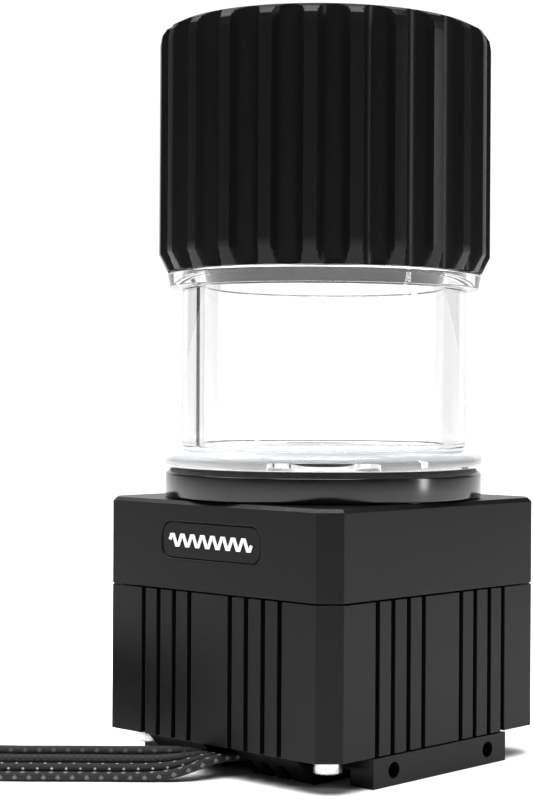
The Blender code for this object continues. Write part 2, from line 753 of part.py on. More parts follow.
def stator_core():
    ring = (
        (CORE_TIP, CORE_BOTTOM),
        (CORE_OUTER, CORE_BOTTOM),
        (CORE_OUTER, CORE_TOP),
        (CORE_TIP, CORE_TOP),
    )
    work = bmesh.new()
    add_turned(work, ring, RING_STEPS)
    obj = add_object("stator_core", work, "lamination")
    pitch = 2 * math.pi / TOOTH_COUNT
    outline = []
    for radius, forward in ((CORE_TIP - OVERRUN, True), (CORE_YOKE, False)):
        edge = math.asin(TOOTH_WIDTH / 2 / radius)
        span = [edge + (pitch - 2 * edge) * i / 6 for i in range(7)]
        for angle in span if forward else reversed(span):
            outline.append((radius * math.cos(angle), radius * math.sin(angle), CORE_BOTTOM - OVERRUN))
    slots = bmesh.new()
    add_prism(slots, outline, (0, 0, CORE_TOP - CORE_BOTTOM + 2 * OVERRUN))
    repeat_round(slots, TOOTH_COUNT)
    return combine(obj, slots)


def stator_coil(number):
    """Winding round one tooth, as a rounded rectangular ring."""
    half_y = TOOTH_WIDTH / 2 + SCREW_CLEARANCE
    half_z = (CORE_TOP - CORE_BOTTOM) / 2 + SCREW_CLEARANCE
    loops = []
    for x, grow in (
        (WINDING_START, 0.0),
        (WINDING_START, WINDING_THICKNESS),
        (WINDING_END, WINDING_THICKNESS),
        (WINDING_END, 0.0),
    ):
        loops.append(rounded_loop(x, half_y + grow, half_z + grow, WINDING_CORNER + 0.8 * grow))
    work = bmesh.new()
    verts = add_loft(work, loops, closed=True)
    turn_verts(work, verts, 2 * math.pi * number / TOOTH_COUNT)
    shade(add_object(f"stator_coil_{number + 1}", work, "copper"))


def rounded_loop(x, half_y, half_z, corner):
    """A rounded rectangle across the X axis, at mid height of the core."""
    middle = (CORE_TOP + CORE_BOTTOM) / 2
    loop = []
    for quarter in range(4):
        sy = 1 if quarter in (0, 3) else -1
        sz = 1 if quarter in (0, 1) else -1
        for k in range(4):
            angle = math.pi / 2 * (quarter + k / 3)
            y = sy * (half_y - corner) + corner * math.cos(angle)
            z = middle + sz * (half_z - corner) + corner * math.sin(angle)
            loop.append((x, y, z))
    return loop


def driver_board():
    top = BOARD_BOTTOM + BOARD_THICKNESS
    disc = ((0.0, BOARD_BOTTOM), (BOARD_RADIUS, BOARD_BOTTOM), (BOARD_RADIUS, top), (0.0, top))
    turned_object("driver_board", disc, "board")
    work = bmesh.new()
    add_box(work, (*CHIP_LOW, top + SEAL_LIFT), (*CHIP_HIGH, top + CHIP_HEIGHT))
    add_object("driver_chip", work, "motor_plastic")


def motor_shell():
    """Plastic cup with a window in its floor for the leads, filled by their grommet."""
    floor = SHELL_BOTTOM + SHELL_WALL
    inner = SHELL_RADIUS - SHELL_WALL
    cup = (
        (0.0, SHELL_BOTTOM),
        (SHELL_RADIUS, SHELL_BOTTOM),
        (SHELL_RADIUS, SHELL_TOP),
        (inner, SHELL_TOP),
        (inner, floor),
        (0.0, floor),
    )
    obj = turned_object("motor_shell", cup, "motor_plastic")
    near, far = SHELL_WINDOW_Y
    window = bmesh.new()
    low = (-SHELL_WINDOW_HALF, near, SHELL_BOTTOM - OVERRUN)
    add_box(window, low, (SHELL_WINDOW_HALF, far, floor + OVERRUN))
    combine(obj, window)
    shade(obj)
    block = bmesh.new()
    half = SHELL_WINDOW_HALF - SEAT_GAP
    add_box(block, (-half, near + SEAT_GAP, SHELL_BOTTOM), (half, far - SEAT_GAP, GROMMET_TOP))
    grommet = add_object("wire_grommet", block, "black_rubber")
    middle = (near + far) / 2
    slot_x, slot_y = GROMMET_SLOT_HALF
    slot = bmesh.new()
    low = (-slot_x, middle - slot_y, SHELL_BOTTOM - OVERRUN)
    add_box(slot, low, (slot_x, middle + slot_y, GROMMET_TOP + OVERRUN))
    combine(grommet, slot)


def thermal_pad():
    low = BASE_TOP + SCREW_CLEARANCE
    high = low + PAD_THICKNESS
    profile = ((0.0, low), (PAD_RADIUS, low), (PAD_RADIUS, high), (0.0, high))
    pad = turned_object("thermal_pad", profile, "pad")
    gap = bmesh.new()
    end = (PAD_NOTCH_HALF, WIRE_NOTCH_END_Y, high + OVERRUN)
    add_box(gap, (-PAD_NOTCH_HALF, -BODY_HALF, low - OVERRUN), end)
    combine(pad, gap)


def rotor():
    """Impeller with its hub, and the ring magnet on the hub."""
    bore = POST_RADIUS + RUNNING_CLEARANCE
    profile = (
        (bore, MAGNET_BOTTOM),
        (HUB_RADIUS, MAGNET_BOTTOM),
        (HUB_RADIUS, DISC_BOTTOM),
        (DISC_RADIUS, DISC_BOTTOM),
        (DISC_RADIUS, DISC_TOP),
        (HUB_RADIUS, DISC_TOP),
        (HUB_RADIUS - HUB_NOSE, HUB_TOP),
        (bore, HUB_TOP),
    )
    work = bmesh.new()
    add_turned(work, profile, RING_STEPS)
    impeller = add_object("impeller", work, "impeller_plastic")
    vanes = bmesh.new()
    add_loft(vanes, vane_loops())
    repeat_round(vanes, VANE_COUNT)
    combine(impeller, vanes, "UNION")
    shade(impeller)
    inner = HUB_RADIUS + RUNNING_CLEARANCE
    magnet = (
        (inner, MAGNET_BOTTOM),
        (MAGNET_OUTER, MAGNET_BOTTOM),
        (MAGNET_OUTER, MAGNET_TOP),
        (inner, MAGNET_TOP),
    )
    turned_object("rotor_magnet", magnet, "magnet")


def vane_loops():
    """One swept vane, rooted a little way into the disc."""
    root = (DISC_BOTTOM + DISC_TOP) / 2
    end = DISC_RADIUS - VANE_THICKNESS
    loops = []
    for step in range(VANE_STEPS + 1):
        part = step / VANE_STEPS
        radius = VANE_START + (end - VANE_START) * part
        half = VANE_THICKNESS / 2 / radius
        angle = -VANE_SWEEP * part
        loop = []
        near, far = angle - half, angle + half
        for a, z in ((near, root), (far, root), (far, VANE_TOP), (near, VANE_TOP)):
            loop.append((radius * math.cos(a), radius * math.sin(a), z))
        loops.append(loop)
    return loops


# ---- Reservoir, cap and seals ----


def reservoir_collar():
    """Its spigot sits in the pump top, and its flat top carries the tube on a face seal."""
    low = RECESS_RADIUS - SEAT_GAP
    ledge = RECESS_FLOOR + 2 * SEAL_SECTION + SEAL_CLEARANCE
    groove_inner, groove_outer = FOOT_GROOVE
    groove_floor = COLLAR_SHOULDER - FOOT_GROOVE_DEPTH
    profile = (
        (COLLAR_BORE, ledge),
        (low, ledge),
        (low, COLLAR_BOTTOM),
        (COLLAR_RADIUS, COLLAR_BOTTOM),
        (COLLAR_RADIUS, COLLAR_SHOULDER - COLLAR_BEVEL),
        (COLLAR_RADIUS - COLLAR_BEVEL, COLLAR_SHOULDER),
        (groove_outer, COLLAR_SHOULDER),
        (groove_outer, groove_floor),
        (groove_inner, groove_floor),
        (groove_inner, COLLAR_SHOULDER),
        (COLLAR_BORE, COLLAR_SHOULDER),
    )
    turned_object("reservoir_collar", profile, "black_gloss", FULL_STEPS)


def reservoir_tube():
    """Clear tube: a shoulder under the cap, a floor with one hole, and a rounded foot flange."""
    shoulder_top = CAP_BOTTOM - SEAT_GAP
    profile = [
        (TUBE_OUTER - TUBE_RIM_BEVEL, TUBE_TOP),
        (TUBE_OUTER, TUBE_TOP - TUBE_RIM_BEVEL),
        (TUBE_OUTER, shoulder_top),
        (SHOULDER_RADIUS, shoulder_top),
        (SHOULDER_EDGE_RADIUS, SHOULDER_BOTTOM),
        (TUBE_OUTER, SHOULDER_BOTTOM),
    ]
    profile += [(TUBE_OUTER - inset, z) for inset, z in WAIST]
    profile += [(FOOT_RADIUS - inset, z) for inset, z in FOOT_ROUND]
    profile += [
        (FOOT_RADIUS, TUBE_BOTTOM),
        (FLOOR_HOLE, TUBE_BOTTOM),
        (FLOOR_HOLE, FLOOR_TOP),
        (TUBE_INNER, FLOOR_TOP),
        (TUBE_INNER, TUBE_TOP),
    ]
    turned_object("reservoir_tube", profile, "clear_acrylic", FULL_STEPS)


def cap_shell():
    """Deep screw cap with half-round flutes and a boss inside that the plug screws onto."""
    profile = (
        (0.0, CAP_TOP),
        (CAP_TOP_RIM, CAP_TOP),
        *[(radius, CAP_TOP - drop) for radius, drop in CAP_TOP_ROUND],
        (CAP_RADIUS, CAP_BOTTOM + CAP_LIP_CHAMFER),
        (CAP_LIP_RADIUS, CAP_BOTTOM),
        (CAP_BORE, CAP_BOTTOM),
        (CAP_BORE, CAP_CEILING),
        (BOSS_OUTER, CAP_CEILING),
        (BOSS_OUTER, BOSS_BOTTOM),
        (BOSS_INNER, BOSS_BOTTOM),
        (BOSS_INNER, CAP_CEILING),
        (0.0, CAP_CEILING),
    )
    phase = math.radians(FLUTE_PHASE_DEG)
    work = bmesh.new()
    add_turned(work, profile, 2 * FLUTE_COUNT, phase)
    obj = add_object("cap_shell", work, "black_anodised")
    flutes = bmesh.new()
    low, high = (CAP_RADIUS, 0, CAP_BOTTOM - OVERRUN), (CAP_RADIUS, 0, CAP_TOP + OVERRUN)
    turn_verts(flutes, add_rod(flutes, low, high, FLUTE_RADIUS, HOLE_STEPS), phase)
    repeat_round(flutes, FLUTE_COUNT)
    combine(obj, flutes)
    above = (0, 0, CAP_TOP + OVERRUN)
    bore = bmesh.new()
    add_rod(bore, (0, 0, CAP_CEILING - OVERRUN), above, FILL_BORE, PORT_STEPS)
    combine(obj, bore)
    seat = bmesh.new()
    add_rod(seat, (0, 0, CAP_TOP - FILL_SEAT_DEPTH), above, FILL_HEAD_RADIUS + SEAT_GAP, PORT_STEPS)
    combine(obj, seat)
    shade(obj)


def cap_plug():
    """Hollow plug inside the tube: two seal grooves outside, the fill bore through its stem."""
    inner = PLUG_RADIUS - PLUG_WALL
    floor = PLUG_BOTTOM + PLUG_FLOOR
    groove = PLUG_RADIUS - PLUG_GROOVE_DEPTH
    profile = [(PLUG_RADIUS - PLUG_EDGE_BEVEL, PLUG_BOTTOM), (PLUG_RADIUS, PLUG_BOTTOM + PLUG_EDGE_BEVEL)]
    for z in PLUG_SEAL_HEIGHTS:
        low, high = z - PLUG_GROOVE_HALF, z + PLUG_GROOVE_HALF
        profile += [(PLUG_RADIUS, low), (groove, low), (groove, high), (PLUG_RADIUS, high)]
    profile += [
        (PLUG_RADIUS, PLUG_TOP),
        (inner, PLUG_TOP),
        (inner, floor),
        (PLUG_STEM_OUTER, floor),
        (PLUG_STEM_OUTER, PLUG_TOP),
        (FILL_BORE, PLUG_TOP),
        (FILL_BORE, PLUG_BOTTOM),
    ]
    turned_object("cap_plug", profile, "black_anodised")


def fill_plug():
    under_head = CAP_TOP - FILL_HEAD_THICKNESS
    profile = (
        (0.0, CAP_TOP),
        (FILL_HEAD_RADIUS - FILL_EDGE_BEVEL, CAP_TOP),
        (FILL_HEAD_RADIUS, CAP_TOP - FILL_EDGE_BEVEL),
        (FILL_HEAD_RADIUS, under_head),
        (FILL_SHANK_RADIUS, under_head),
        (FILL_SHANK_RADIUS, CAP_CEILING + FILL_TIP_BEVEL),
        (FILL_SHANK_RADIUS - FILL_TIP_BEVEL, CAP_CEILING),
        (0.0, CAP_CEILING),
    )
    obj = turned_object("fill_plug", profile, "black_anodised", PORT_STEPS)
    socket = bmesh.new()
    add_rod(socket, (0, 0, CAP_TOP - FILL_HEX_DEPTH), (0, 0, CAP_TOP + OVERRUN), FILL_HEX_RADIUS, 6)
    combine(obj, socket)
    shade(obj)


def o_ring(name, radius, z, section):
    turned_object(name, ring_profile(radius, z, section, section), "black_rubber")


def seals():
    plug_seal_radius = TUBE_INNER - PLUG_SEAL_SECTION - 2 * SEAL_LIFT
    for number, z in enumerate(PLUG_SEAL_HEIGHTS, 1):
        o_ring(f"cap_seal_{number}", plug_seal_radius, z, PLUG_SEAL_SECTION)
    fill_z = CAP_TOP - FILL_SEAT_DEPTH + FILL_SEAL_SECTION + SEAL_LIFT
    o_ring("fill_plug_seal", FILL_SEAL_RADIUS, fill_z, FILL_SEAL_SECTION)
    foot_z = COLLAR_SHOULDER - FOOT_GROOVE_DEPTH + FOOT_SEAL_SECTION + SEAL_LIFT
    o_ring("tube_foot_seal", FOOT_SEAL_RADIUS, foot_z, FOOT_SEAL_SECTION)
    o_ring("collar_seal", COLLAR_SEAL_RADIUS, RECESS_FLOOR + SEAL_SECTION + SEAL_LIFT, SEAL_SECTION)
    o_ring("pump_seal", PUMP_SEAL_RADIUS, CAN_FLANGE_TOP + SEAL_SECTION + SEAL_LIFT, SEAL_SECTION)
    low, high = TUBE_TOP + SEAL_LIFT, CAP_CEILING - SEAL_LIFT
    gasket = ((TUBE_INNER, low), (TUBE_OUTER, low), (TUBE_OUTER, high), (TUBE_INNER, high))
    turned_object("cap_gasket", gasket, "black_rubber")


# ---- Leads ----


def smooth_route(rows, steps):
    """Catmull-Rom points through the given rows, with the given number of steps in each gap."""
    ends = [rows[0], *rows, rows[-1]]
    made = []
    for a, b, c, d in zip(ends, ends[1:], ends[2:], ends[3:]):
        for k in range(steps):
            t = k / steps
            row = []
            for p, q, r, s in zip(a, b, c, d):
                bend = (2 * p - 5 * q + 4 * r - s) * t**2 + (3 * q - p - 3 * r + s) * t**3
                row.append(q + ((r - p) * t + bend) / 2)
            made.append(row)
    made.append(rows[-1])
    return made


def lead(number):
    """One lead of the flat row of four, as a tube along its own side of the common route."""
    place = (number - (LEAD_COUNT - 1) / 2) * LEAD_PITCH
    curve = bpy.data.curves.new(f"lead_{number + 1}", "CURVE")
    curve.dimensions = "3D"
    curve.bevel_depth = LEAD_RADIUS
    curve.bevel_resolution = 2
    curve.use_fill_caps = True
    line = smooth_route(ROUTE, ROUTE_STEPS)
    spline = curve.splines.new("POLY")
    spline.points.add(len(line) - 1)
    for point, (x, y, z, heading, lean) in zip(spline.points, line):
        turn, tilt = math.radians(heading), math.radians(lean)
        side = math.cos(tilt) * place
        point.co = (x + side * math.sin(turn), y - side * math.cos(turn), z + math.sin(tilt) * place, 1.0)
    obj = bpy.data.objects.new(f"lead_{number + 1}", curve)
    bpy.context.collection.objects.link(obj)
    curve.materials.append(material("braid"))


def lead_coil():
    """The wound-up length of all four leads, as one ring lying on the floor."""
    profile = ring_profile(COIL_RADIUS, COIL_MIDDLE, COIL_HALF_WIDTH, COIL_HALF_HEIGHT, 8)
    obj = turned_object("lead_coil", profile, "braid")
    obj.location = (*COIL_CENTRE, 0.0)


def coil_tie():
    """A flat band round the coil's section."""
    gap_x, gap_z = TIE_CLEARANCE
    loops = []
    for along, grow in (
        (-TIE_HALF_LENGTH, 0.0),
        (-TIE_HALF_LENGTH, TIE_THICKNESS),
        (TIE_HALF_LENGTH, TIE_THICKNESS),
        (TIE_HALF_LENGTH, 0.0),
    ):
        half_width, half_height = COIL_HALF_WIDTH + gap_x + grow, COIL_HALF_HEIGHT + gap_z + grow
        ring = ring_profile(COIL_RADIUS, COIL_MIDDLE, half_width, half_height, 16)
        loops.append([(r, along, z) for r, z in ring])
    work = bmesh.new()
    add_loft(work, loops, closed=True)
    obj = add_object("coil_tie", work, "black_rubber")
    shade(obj)
    obj.location = (*COIL_CENTRE, 0.0)
    obj.rotation_euler = (0.0, 0.0, math.radians(COIL_TURN_DEG + TIE_ANGLE_DEG))


def connector(name, size, socket_radius, place, turn_deg):
    """Plug body lying on the coil, with a row of sockets in its mouth end."""
    width, length, height = size
    work = bmesh.new()
    add_box(work, (-width / 2, -length / 2, 0.0), (width / 2, length / 2, height))
    bevel_edges(work, runs_along(1), height / 8)
    obj = add_object(name, work, "motor_plastic")
    sockets = bmesh.new()
    for k in range(PLUG_SOCKETS):
        x = (k - (PLUG_SOCKETS - 1) / 2) * 0.9 * width / PLUG_SOCKETS
        end = (x, length / 2 + OVERRUN, height / 2)
        add_rod(sockets, (x, length / 10, height / 2), end, socket_radius, HOLE_STEPS)
    combine(obj, sockets)
    aside = Matrix.Rotation(math.radians(COIL_TURN_DEG), 3, "Z") @ Vector((*place, PLUG_FLOOR_Z))
    obj.location = aside + Vector((*COIL_CENTRE, 0.0))
    obj.rotation_euler = (0.0, 0.0, math.radians(COIL_TURN_DEG + turn_deg))


def main():
    clear_scene()
    base_heatsink()
    heatsink_housing()
    for number, (x, y) in enumerate(corner_points(CORNER_SCREW_OFFSET, CORNER_SCREW_OFFSET), 1):
        corner_screw(number, x, y)
    for number, (x, y) in enumerate(corner_points(BASE_SCREW_X, BASE_SCREW_Y), 1):
        base_screw(number, x, y)
    motor()
    rotor()
    pump_top()
    badge_wave(badge_plate())
    reservoir_collar()
    reservoir_tube()
    cap_shell()
    cap_plug()
    fill_plug()
    seals()
    for number in range(LEAD_COUNT):
        lead(number)
    lead_coil()
    coil_tie()
    power_place = (POWER_PLUG_PLACE, POWER_PLUG_TURN_DEG)
    connector("power_connector", POWER_PLUG_SIZE, POWER_SOCKET_RADIUS, *power_place)
    signal_place = (SIGNAL_PLUG_PLACE, SIGNAL_PLUG_TURN_DEG)
    connector("signal_connector", SIGNAL_PLUG_SIZE, SIGNAL_SOCKET_RADIUS, *signal_place)


main()
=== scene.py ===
"""Looks of the pump and reservoir unit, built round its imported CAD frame.

Lengths are metres in the row frame: +Z up, the floor at Z = 0, the badge on the -Y face.
"""

import math

import bmesh
import bpy
from mathutils import Matrix, Vector

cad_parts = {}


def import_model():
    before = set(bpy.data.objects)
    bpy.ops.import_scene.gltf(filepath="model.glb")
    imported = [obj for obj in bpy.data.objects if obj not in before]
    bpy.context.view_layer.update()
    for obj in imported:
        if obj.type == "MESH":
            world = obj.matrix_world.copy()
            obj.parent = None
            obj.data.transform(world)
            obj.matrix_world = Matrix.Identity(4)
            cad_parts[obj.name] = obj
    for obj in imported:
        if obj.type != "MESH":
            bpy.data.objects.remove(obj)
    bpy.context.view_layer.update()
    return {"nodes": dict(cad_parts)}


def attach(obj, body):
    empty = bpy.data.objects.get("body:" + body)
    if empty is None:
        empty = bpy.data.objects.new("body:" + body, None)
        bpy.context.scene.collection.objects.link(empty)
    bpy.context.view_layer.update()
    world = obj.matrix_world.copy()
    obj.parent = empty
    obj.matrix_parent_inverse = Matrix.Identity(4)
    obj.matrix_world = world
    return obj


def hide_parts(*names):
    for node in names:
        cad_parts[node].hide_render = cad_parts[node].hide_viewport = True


# ---- Camera and picture ----

CAMERA_AZIMUTH_DEG = 41.364
CAMERA_DISTANCE = 0.3993
CAMERA_HEIGHT = 0.0758
CAMERA_SIDE = 0.0132
CAMERA_ROLL_DEG = 0.33
LENS_MM = 85.57
SENSOR_MM = 36.0
SHIFT = (-0.1507, -0.0095)

# ---- Light ----

BACKGROUND_STRENGTH = 1.05
AMBIENT_STRENGTH = 0.055
BACKDROP_EDGE = (0.72, 0.86)
THROUGH_CLEAR_STRENGTH = 1.25
CARDS = (
    # name, look, degrees to the left of straight behind, distance, width
    ("line_card", "dark_card", 47.4, 0.50, 0.056),
    ("left_card", "grey_card", 40.0, 0.54, 0.36),
    ("right_card", "grey_card", -40.0, 0.54, 0.36),
)
CARD_HEIGHT = 0.42
DARK_CARD_STRENGTH = 0.02
GREY_CARD_STRENGTH = 0.88
LIGHTS = (
    # name, azimuth and elevation in degrees, distance, width and height, power in watts
    ("top_softbox", 30.0, 80.0, 0.9, (0.7, 0.7), 14.0),
    ("left_top_softbox", -62.0, 52.0, 0.9, (0.6, 0.4), 4.0),
    ("right_strip", 118.0, 8.0, 0.8, (0.08, 0.5), 2.2),
)
LIGHT_AIM_HEIGHT = 0.075
FLOOR_HALF_SIZE = 6.0
FLOOR_GAP = 0.00005
OVERHEAD_ENERGY = 4.2
OVERHEAD_ANGLE_DEG = 70.0

# ---- Sizes repeated from the CAD source ----

BODY_HALF = 0.0327
BODY_CHAMFER = 0.0037
HOUSING_BOTTOM = 0.0061
HOUSING_TOP = 0.0358
HOUSING_BORE = 0.0280
PUMP_TOP_BOTTOM = 0.0361
DECK = 0.0539
DECK_BEVEL = 0.0008
SLOT_OFFSETS = (0.0058, 0.0103, 0.0149, 0.0194)
SLOT_WIDTH = 0.0012
SLOT_DEPTH = 0.0025
CORNER_SCREW_OFFSET = 0.0253
CORNER_HEAD_RADIUS = 0.0028
CORNER_HEAD_HEIGHT = 0.0030
CORNER_SHANK_RADIUS = 0.0015
CORNER_SHANK_TOP = 0.0450
CORNER_HEX_RADIUS = 0.00145
CORNER_HEX_DEPTH = 0.0016
SCREW_CLEARANCE = 0.0002
RECESS_RADIUS = 0.0305
RECESS_FLOOR = 0.0501
EYE_RADIUS = 0.0060
VOLUTE_RADIUS = 0.0205
VOLUTE_TOP = 0.0425
PORT_RADIUS = 0.0059
PORT_DEPTH = 0.0100
PORT_Z = 0.0433
PORT_CHAMFER = 0.0009
PORT_PITCH = 0.00134
PORT_THREAD_DEPTH = PORT_PITCH / 2
OUTLET_X = 0.0120
RETURN_Y = 0.0060
RISER_X = -0.0182
RISER_RADIUS = 0.0031
RISER_BOTTOM = 0.0437
COLLAR_RADIUS = 0.0330
COLLAR_BOTTOM = 0.0542
COLLAR_SHOULDER = 0.0600
COLLAR_BEVEL = 0.0011
COLLAR_BORE = 0.0190
COLLAR_GROOVE = (0.0262, 0.0280)
COLLAR_GROOVE_FLOOR = 0.0587
COLLAR_LOWER_RADIUS = 0.0302
COLLAR_LEDGE = 0.0520
TUBE_OUTER = 0.0297
TUBE_INNER = 0.0253
TUBE_BOTTOM = 0.0603
TUBE_TOP = 0.1432
TUBE_FLOOR_TOP = 0.0619
TUBE_FLOOR_HOLE = 0.0080
WAIST_HEIGHT = 0.0646
WAIST_RADIUS = 0.0288
FOOT_TOP = 0.0641
FOOT_EDGE_HEIGHT = 0.0632
TUBE_EDGE_RADII = (
    # of the clear tube's profile, from its top down the outside and back up the inside
    0.0003, 0.0005, 0.0002, 0.0003, 0.0003, 0.0003, 0.0010,
    0.0003, 0.0016, 0.0002, 0.0002, 0.0002, 0.0003,
)
SHOULDER_TOP = 0.1003
SHOULDER_RADIUS = 0.0328
SHOULDER_EDGE_RADIUS = 0.0322
SHOULDER_BOTTOM = 0.0973
FOOT_RADIUS = 0.0332
CAP_RADIUS = 0.0346
CAP_BOTTOM = 0.1006
CAP_TOP = 0.15115
CAP_TOP_RIM = 0.0315
CAP_TOP_ROUND = ((0.0335, 0.0010), (0.0343, 0.0022), (CAP_RADIUS, 0.0040))  # radius, drop below it
CAP_LIP_RADIUS = 0.0329
CAP_LIP_CHAMFER = 0.0034
CAP_BORE = 0.0300
CAP_BORE_CHAMFER = 0.0002
CAP_CEILING = 0.1440
FLUTE_COUNT = 24
FLUTE_RADIUS = 0.0030
FLUTE_PHASE_DEG = -44.2
FLUTE_EDGE_BLEND = 0.00018
FILL_HEAD_RADIUS = 0.0095
FILL_SEAT_DEPTH = 0.0026
FILL_SEAT_CHAMFER = 0.0003
FILL_HEAD_GAP = 0.0003
FILL_BORE = 0.0059
BADGE_HALF_LENGTH = 0.0140
BADGE_HALF_HEIGHT = 0.00365
BADGE_CORNER = 0.0026
BADGE_Z = 0.0460
BADGE_DEPTH = 0.0010
BADGE_LIP = 0.00022
BADGE_CORNER_STEPS = 8

# ---- Leads ----

LEAD_COUNT = 4
LEAD_RADIUS = 0.0009
LEAD_PITCH = 0.00188
LEAD_SIDES = 14
LEAD_ROUTE_STEPS = 3
SLEEVE_CELL = 0.0008
SLEEVE_CELLS_ROUND = 7.0
ROUTE = (
    # x, y, z of the middle of the row of leads; heading and lean of the row, in degrees
    (0.0, -0.0190, 0.0107, -90.0, 0.0),
    (0.0, -0.0190, 0.0078, -90.0, 0.0),
    (0.0, -0.0199, 0.0051, -90.0, 0.0),
    (0.0, -0.0225, 0.0036, -90.0, 0.0),
    (0.0, -0.0266, 0.0034, -90.0, 0.0),
    (0.0, -0.0312, 0.0038, -91.0, 0.0),
    (-0.0005, -0.0352, 0.0039, -103.0, 13.0),
    (-0.0021, -0.0389, 0.0035, -123.0, 36.0),
    (-0.0050, -0.0422, 0.00322, -135.0, 49.0),
    (-0.0095, -0.0463, 0.00316, -138.6, 52.0),
    (-0.0186, -0.0543, 0.00316, -138.6, 52.0),
    (-0.0277, -0.0623, 0.00316, -138.6, 52.0),
    (-0.0371, -0.0706, 0.00350, -138.6, 62.0),
)
COIL_CENTRE = (-0.0563, -0.0691)
COIL_TURN_DEG = 41.4
COIL_OUTER = 0.0138
COIL_INNER = 0.0082
COIL_LOWEST = 0.0013
COIL_TURNS = 4
COIL_STEPS = 20

# Last stretch of each lead in the coil's own directions, from the inner turn to its connector.
LEAD_ENDS = (
    (
        (0.0074, -0.0034, 0.0020),
        (0.0052, -0.0060, 0.0036),
        (0.0020, -0.0072, 0.0060),
        (-0.0014, -0.0064, 0.0088),
        (-0.0034, -0.0036, 0.0114),
        (-0.0038, -0.0004, 0.0126),
        (-0.0038, 0.0050, 0.0128),
    ),
    (
        (0.0071, -0.0030, 0.0037),
        (0.0052, -0.0050, 0.0053),
        (0.0030, -0.0057, 0.0077),
        (0.0007, -0.0050, 0.0101),
        (-0.0007, -0.0028, 0.0120),
        (-0.0010, -0.0002, 0.0127),
        (-0.0010, 0.0050, 0.0128),
    ),
    (
        (0.0076, -0.0031, 0.0060),
        (0.0057, -0.0059, 0.0078),
        (0.0029, -0.0075, 0.0098),
        (-0.0003, -0.0077, 0.0112),
        (-0.0035, -0.0074, 0.0117),
        (-0.0075, -0.0072, 0.0118),
    ),
    (
        (0.0077, -0.0031, 0.0079),
        (0.0060, -0.0062, 0.0094),
        (0.0032, -0.0086, 0.0109),
        (-0.0001, -0.0096, 0.0117),
        (-0.0035, -0.0098, 0.0118),
        (-0.0075, -0.0098, 0.0118),
    ),
)

# ---- Mesh settings ----

SMOOTH_ANGLE = math.radians(30.0)
SHARP_EDGE_ANGLE = math.radians(35.0)
EDGE_ROUNDING = 0.00012
OVERRUN = 0.0020  # how far a cutter runs past the wall that it cuts
WELD_DISTANCE = 1e-7
BORE_STEPS = 96
VOLUTE_STEPS = 64
EYE_STEPS = 32
HOLE_STEPS = 24
PORT_STEPS = 48
SCREW_STEPS = 48
COLLAR_STEPS = 192
TUBE_STEPS = 256
STEPS_PER_FLUTE = 28


# ---- Mesh tools ----


def add_object(name, work):
    """Turns a bmesh into an object, with its faces facing out."""
    bmesh.ops.recalc_face_normals(work, faces=work.faces)
    mesh = bpy.data.meshes.new(name)
    work.to_mesh(mesh)
    work.free()
    obj = bpy.data.objects.new(name, mesh)
    bpy.context.collection.objects.link(obj)
    return obj


def shade(obj, angle=SMOOTH_ANGLE):
    obj.data.shade_smooth()
    obj.data.set_sharp_from_angle(angle=angle)
    return obj


def add_box(work, low, high):
    low, high = Vector(low), Vector(high)
    place = Matrix.Translation((low + high) / 2) @ Matrix.Diagonal((*(high - low), 1.0))
    return bmesh.ops.create_cube(work, size=1.0, matrix=place)["verts"]


def add_rod(work, start, end, radius, steps):
    """A round rod between two points."""
    start, end = Vector(start), Vector(end)
    along = end - start
    place = Matrix.Translation((start + end) / 2) @ along.to_track_quat("Z", "Y").to_matrix().to_4x4()
    made = bmesh.ops.create_cone(
        work,
        cap_ends=True,
        segments=steps,
        radius1=radius,
        radius2=radius,
        depth=along.length,
        matrix=place,
    )
    return made["verts"]


def add_loft(work, loops, closed=False):
    """A skin over a row of loops of equal length, capped at both ends unless the row is closed."""
    rings = [[work.verts.new(p) for p in loop] for loop in loops]
    following = rings[1:] + rings[:1] if closed else rings[1:]
    for low, high in zip(rings, following):
        for a, b, c, d in zip(low, low[1:] + low[:1], high[1:] + high[:1], high):
            work.faces.new((a, b, c, d))
    if not closed:
        work.faces.new(rings[0])
        work.faces.new(rings[-1])
    return [v for ring in rings for v in ring]


def add_turned(work, profile, steps):
    """A (radius, z) profile spun about the Z axis. One that meets the axis starts and ends on it."""
    points = [work.verts.new((radius, 0.0, z)) for radius, z in profile]
    on_axis = profile[0][0] == 0.0
    following = points[1:] if on_axis else points[1:] + points[:1]
    edges = [work.edges.new(pair) for pair in zip(points, following)]
    bmesh.ops.spin(
        work,
        geom=points + edges,
        cent=(0, 0, 0),
        axis=(0, 0, 1),
        angle=2 * math.pi,
        steps=steps,
        use_merge=True,
    )
    bmesh.ops.remove_doubles(work, verts=work.verts, dist=WELD_DISTANCE)
    return list(work.verts)


def turned_object(name, profile, steps):
    work = bmesh.new()
    add_turned(work, profile, steps)
    return shade(add_object(name, work))


def rounded(profile, radii, steps=5):
    """The profile with each corner rounded off by its radius. Closed, unless it starts on the axis."""
    open_ends = profile[0][0] == 0.0
    made = []
    count = len(profile)
    for i, (corner, radius) in enumerate(zip(profile, radii)):
        at = Vector(corner)
        if radius == 0.0 or (open_ends and i in (0, count - 1)):
            made.append(tuple(at))
            continue
        back = (Vector(profile[i - 1]) - at).normalized()
        ahead = (Vector(profile[(i + 1) % count]) - at).normalized()
        half = back.angle(ahead) / 2
        middle = at + (back + ahead).normalized() * radius / math.sin(half)
        start = (at + back * radius / math.tan(half) - middle).normalized()
        end = (at + ahead * radius / math.tan(half) - middle).normalized()
        for k in range(steps + 1):
            made.append(tuple(middle + start.slerp(end, k / steps) * radius))
    return made


def bevel_edges(work, chosen, offset):
    edges = [edge for edge in work.edges if chosen(edge)]
    bmesh.ops.bevel(work, geom=edges, offset=offset, segments=1, profile=0.5, affect="EDGES")


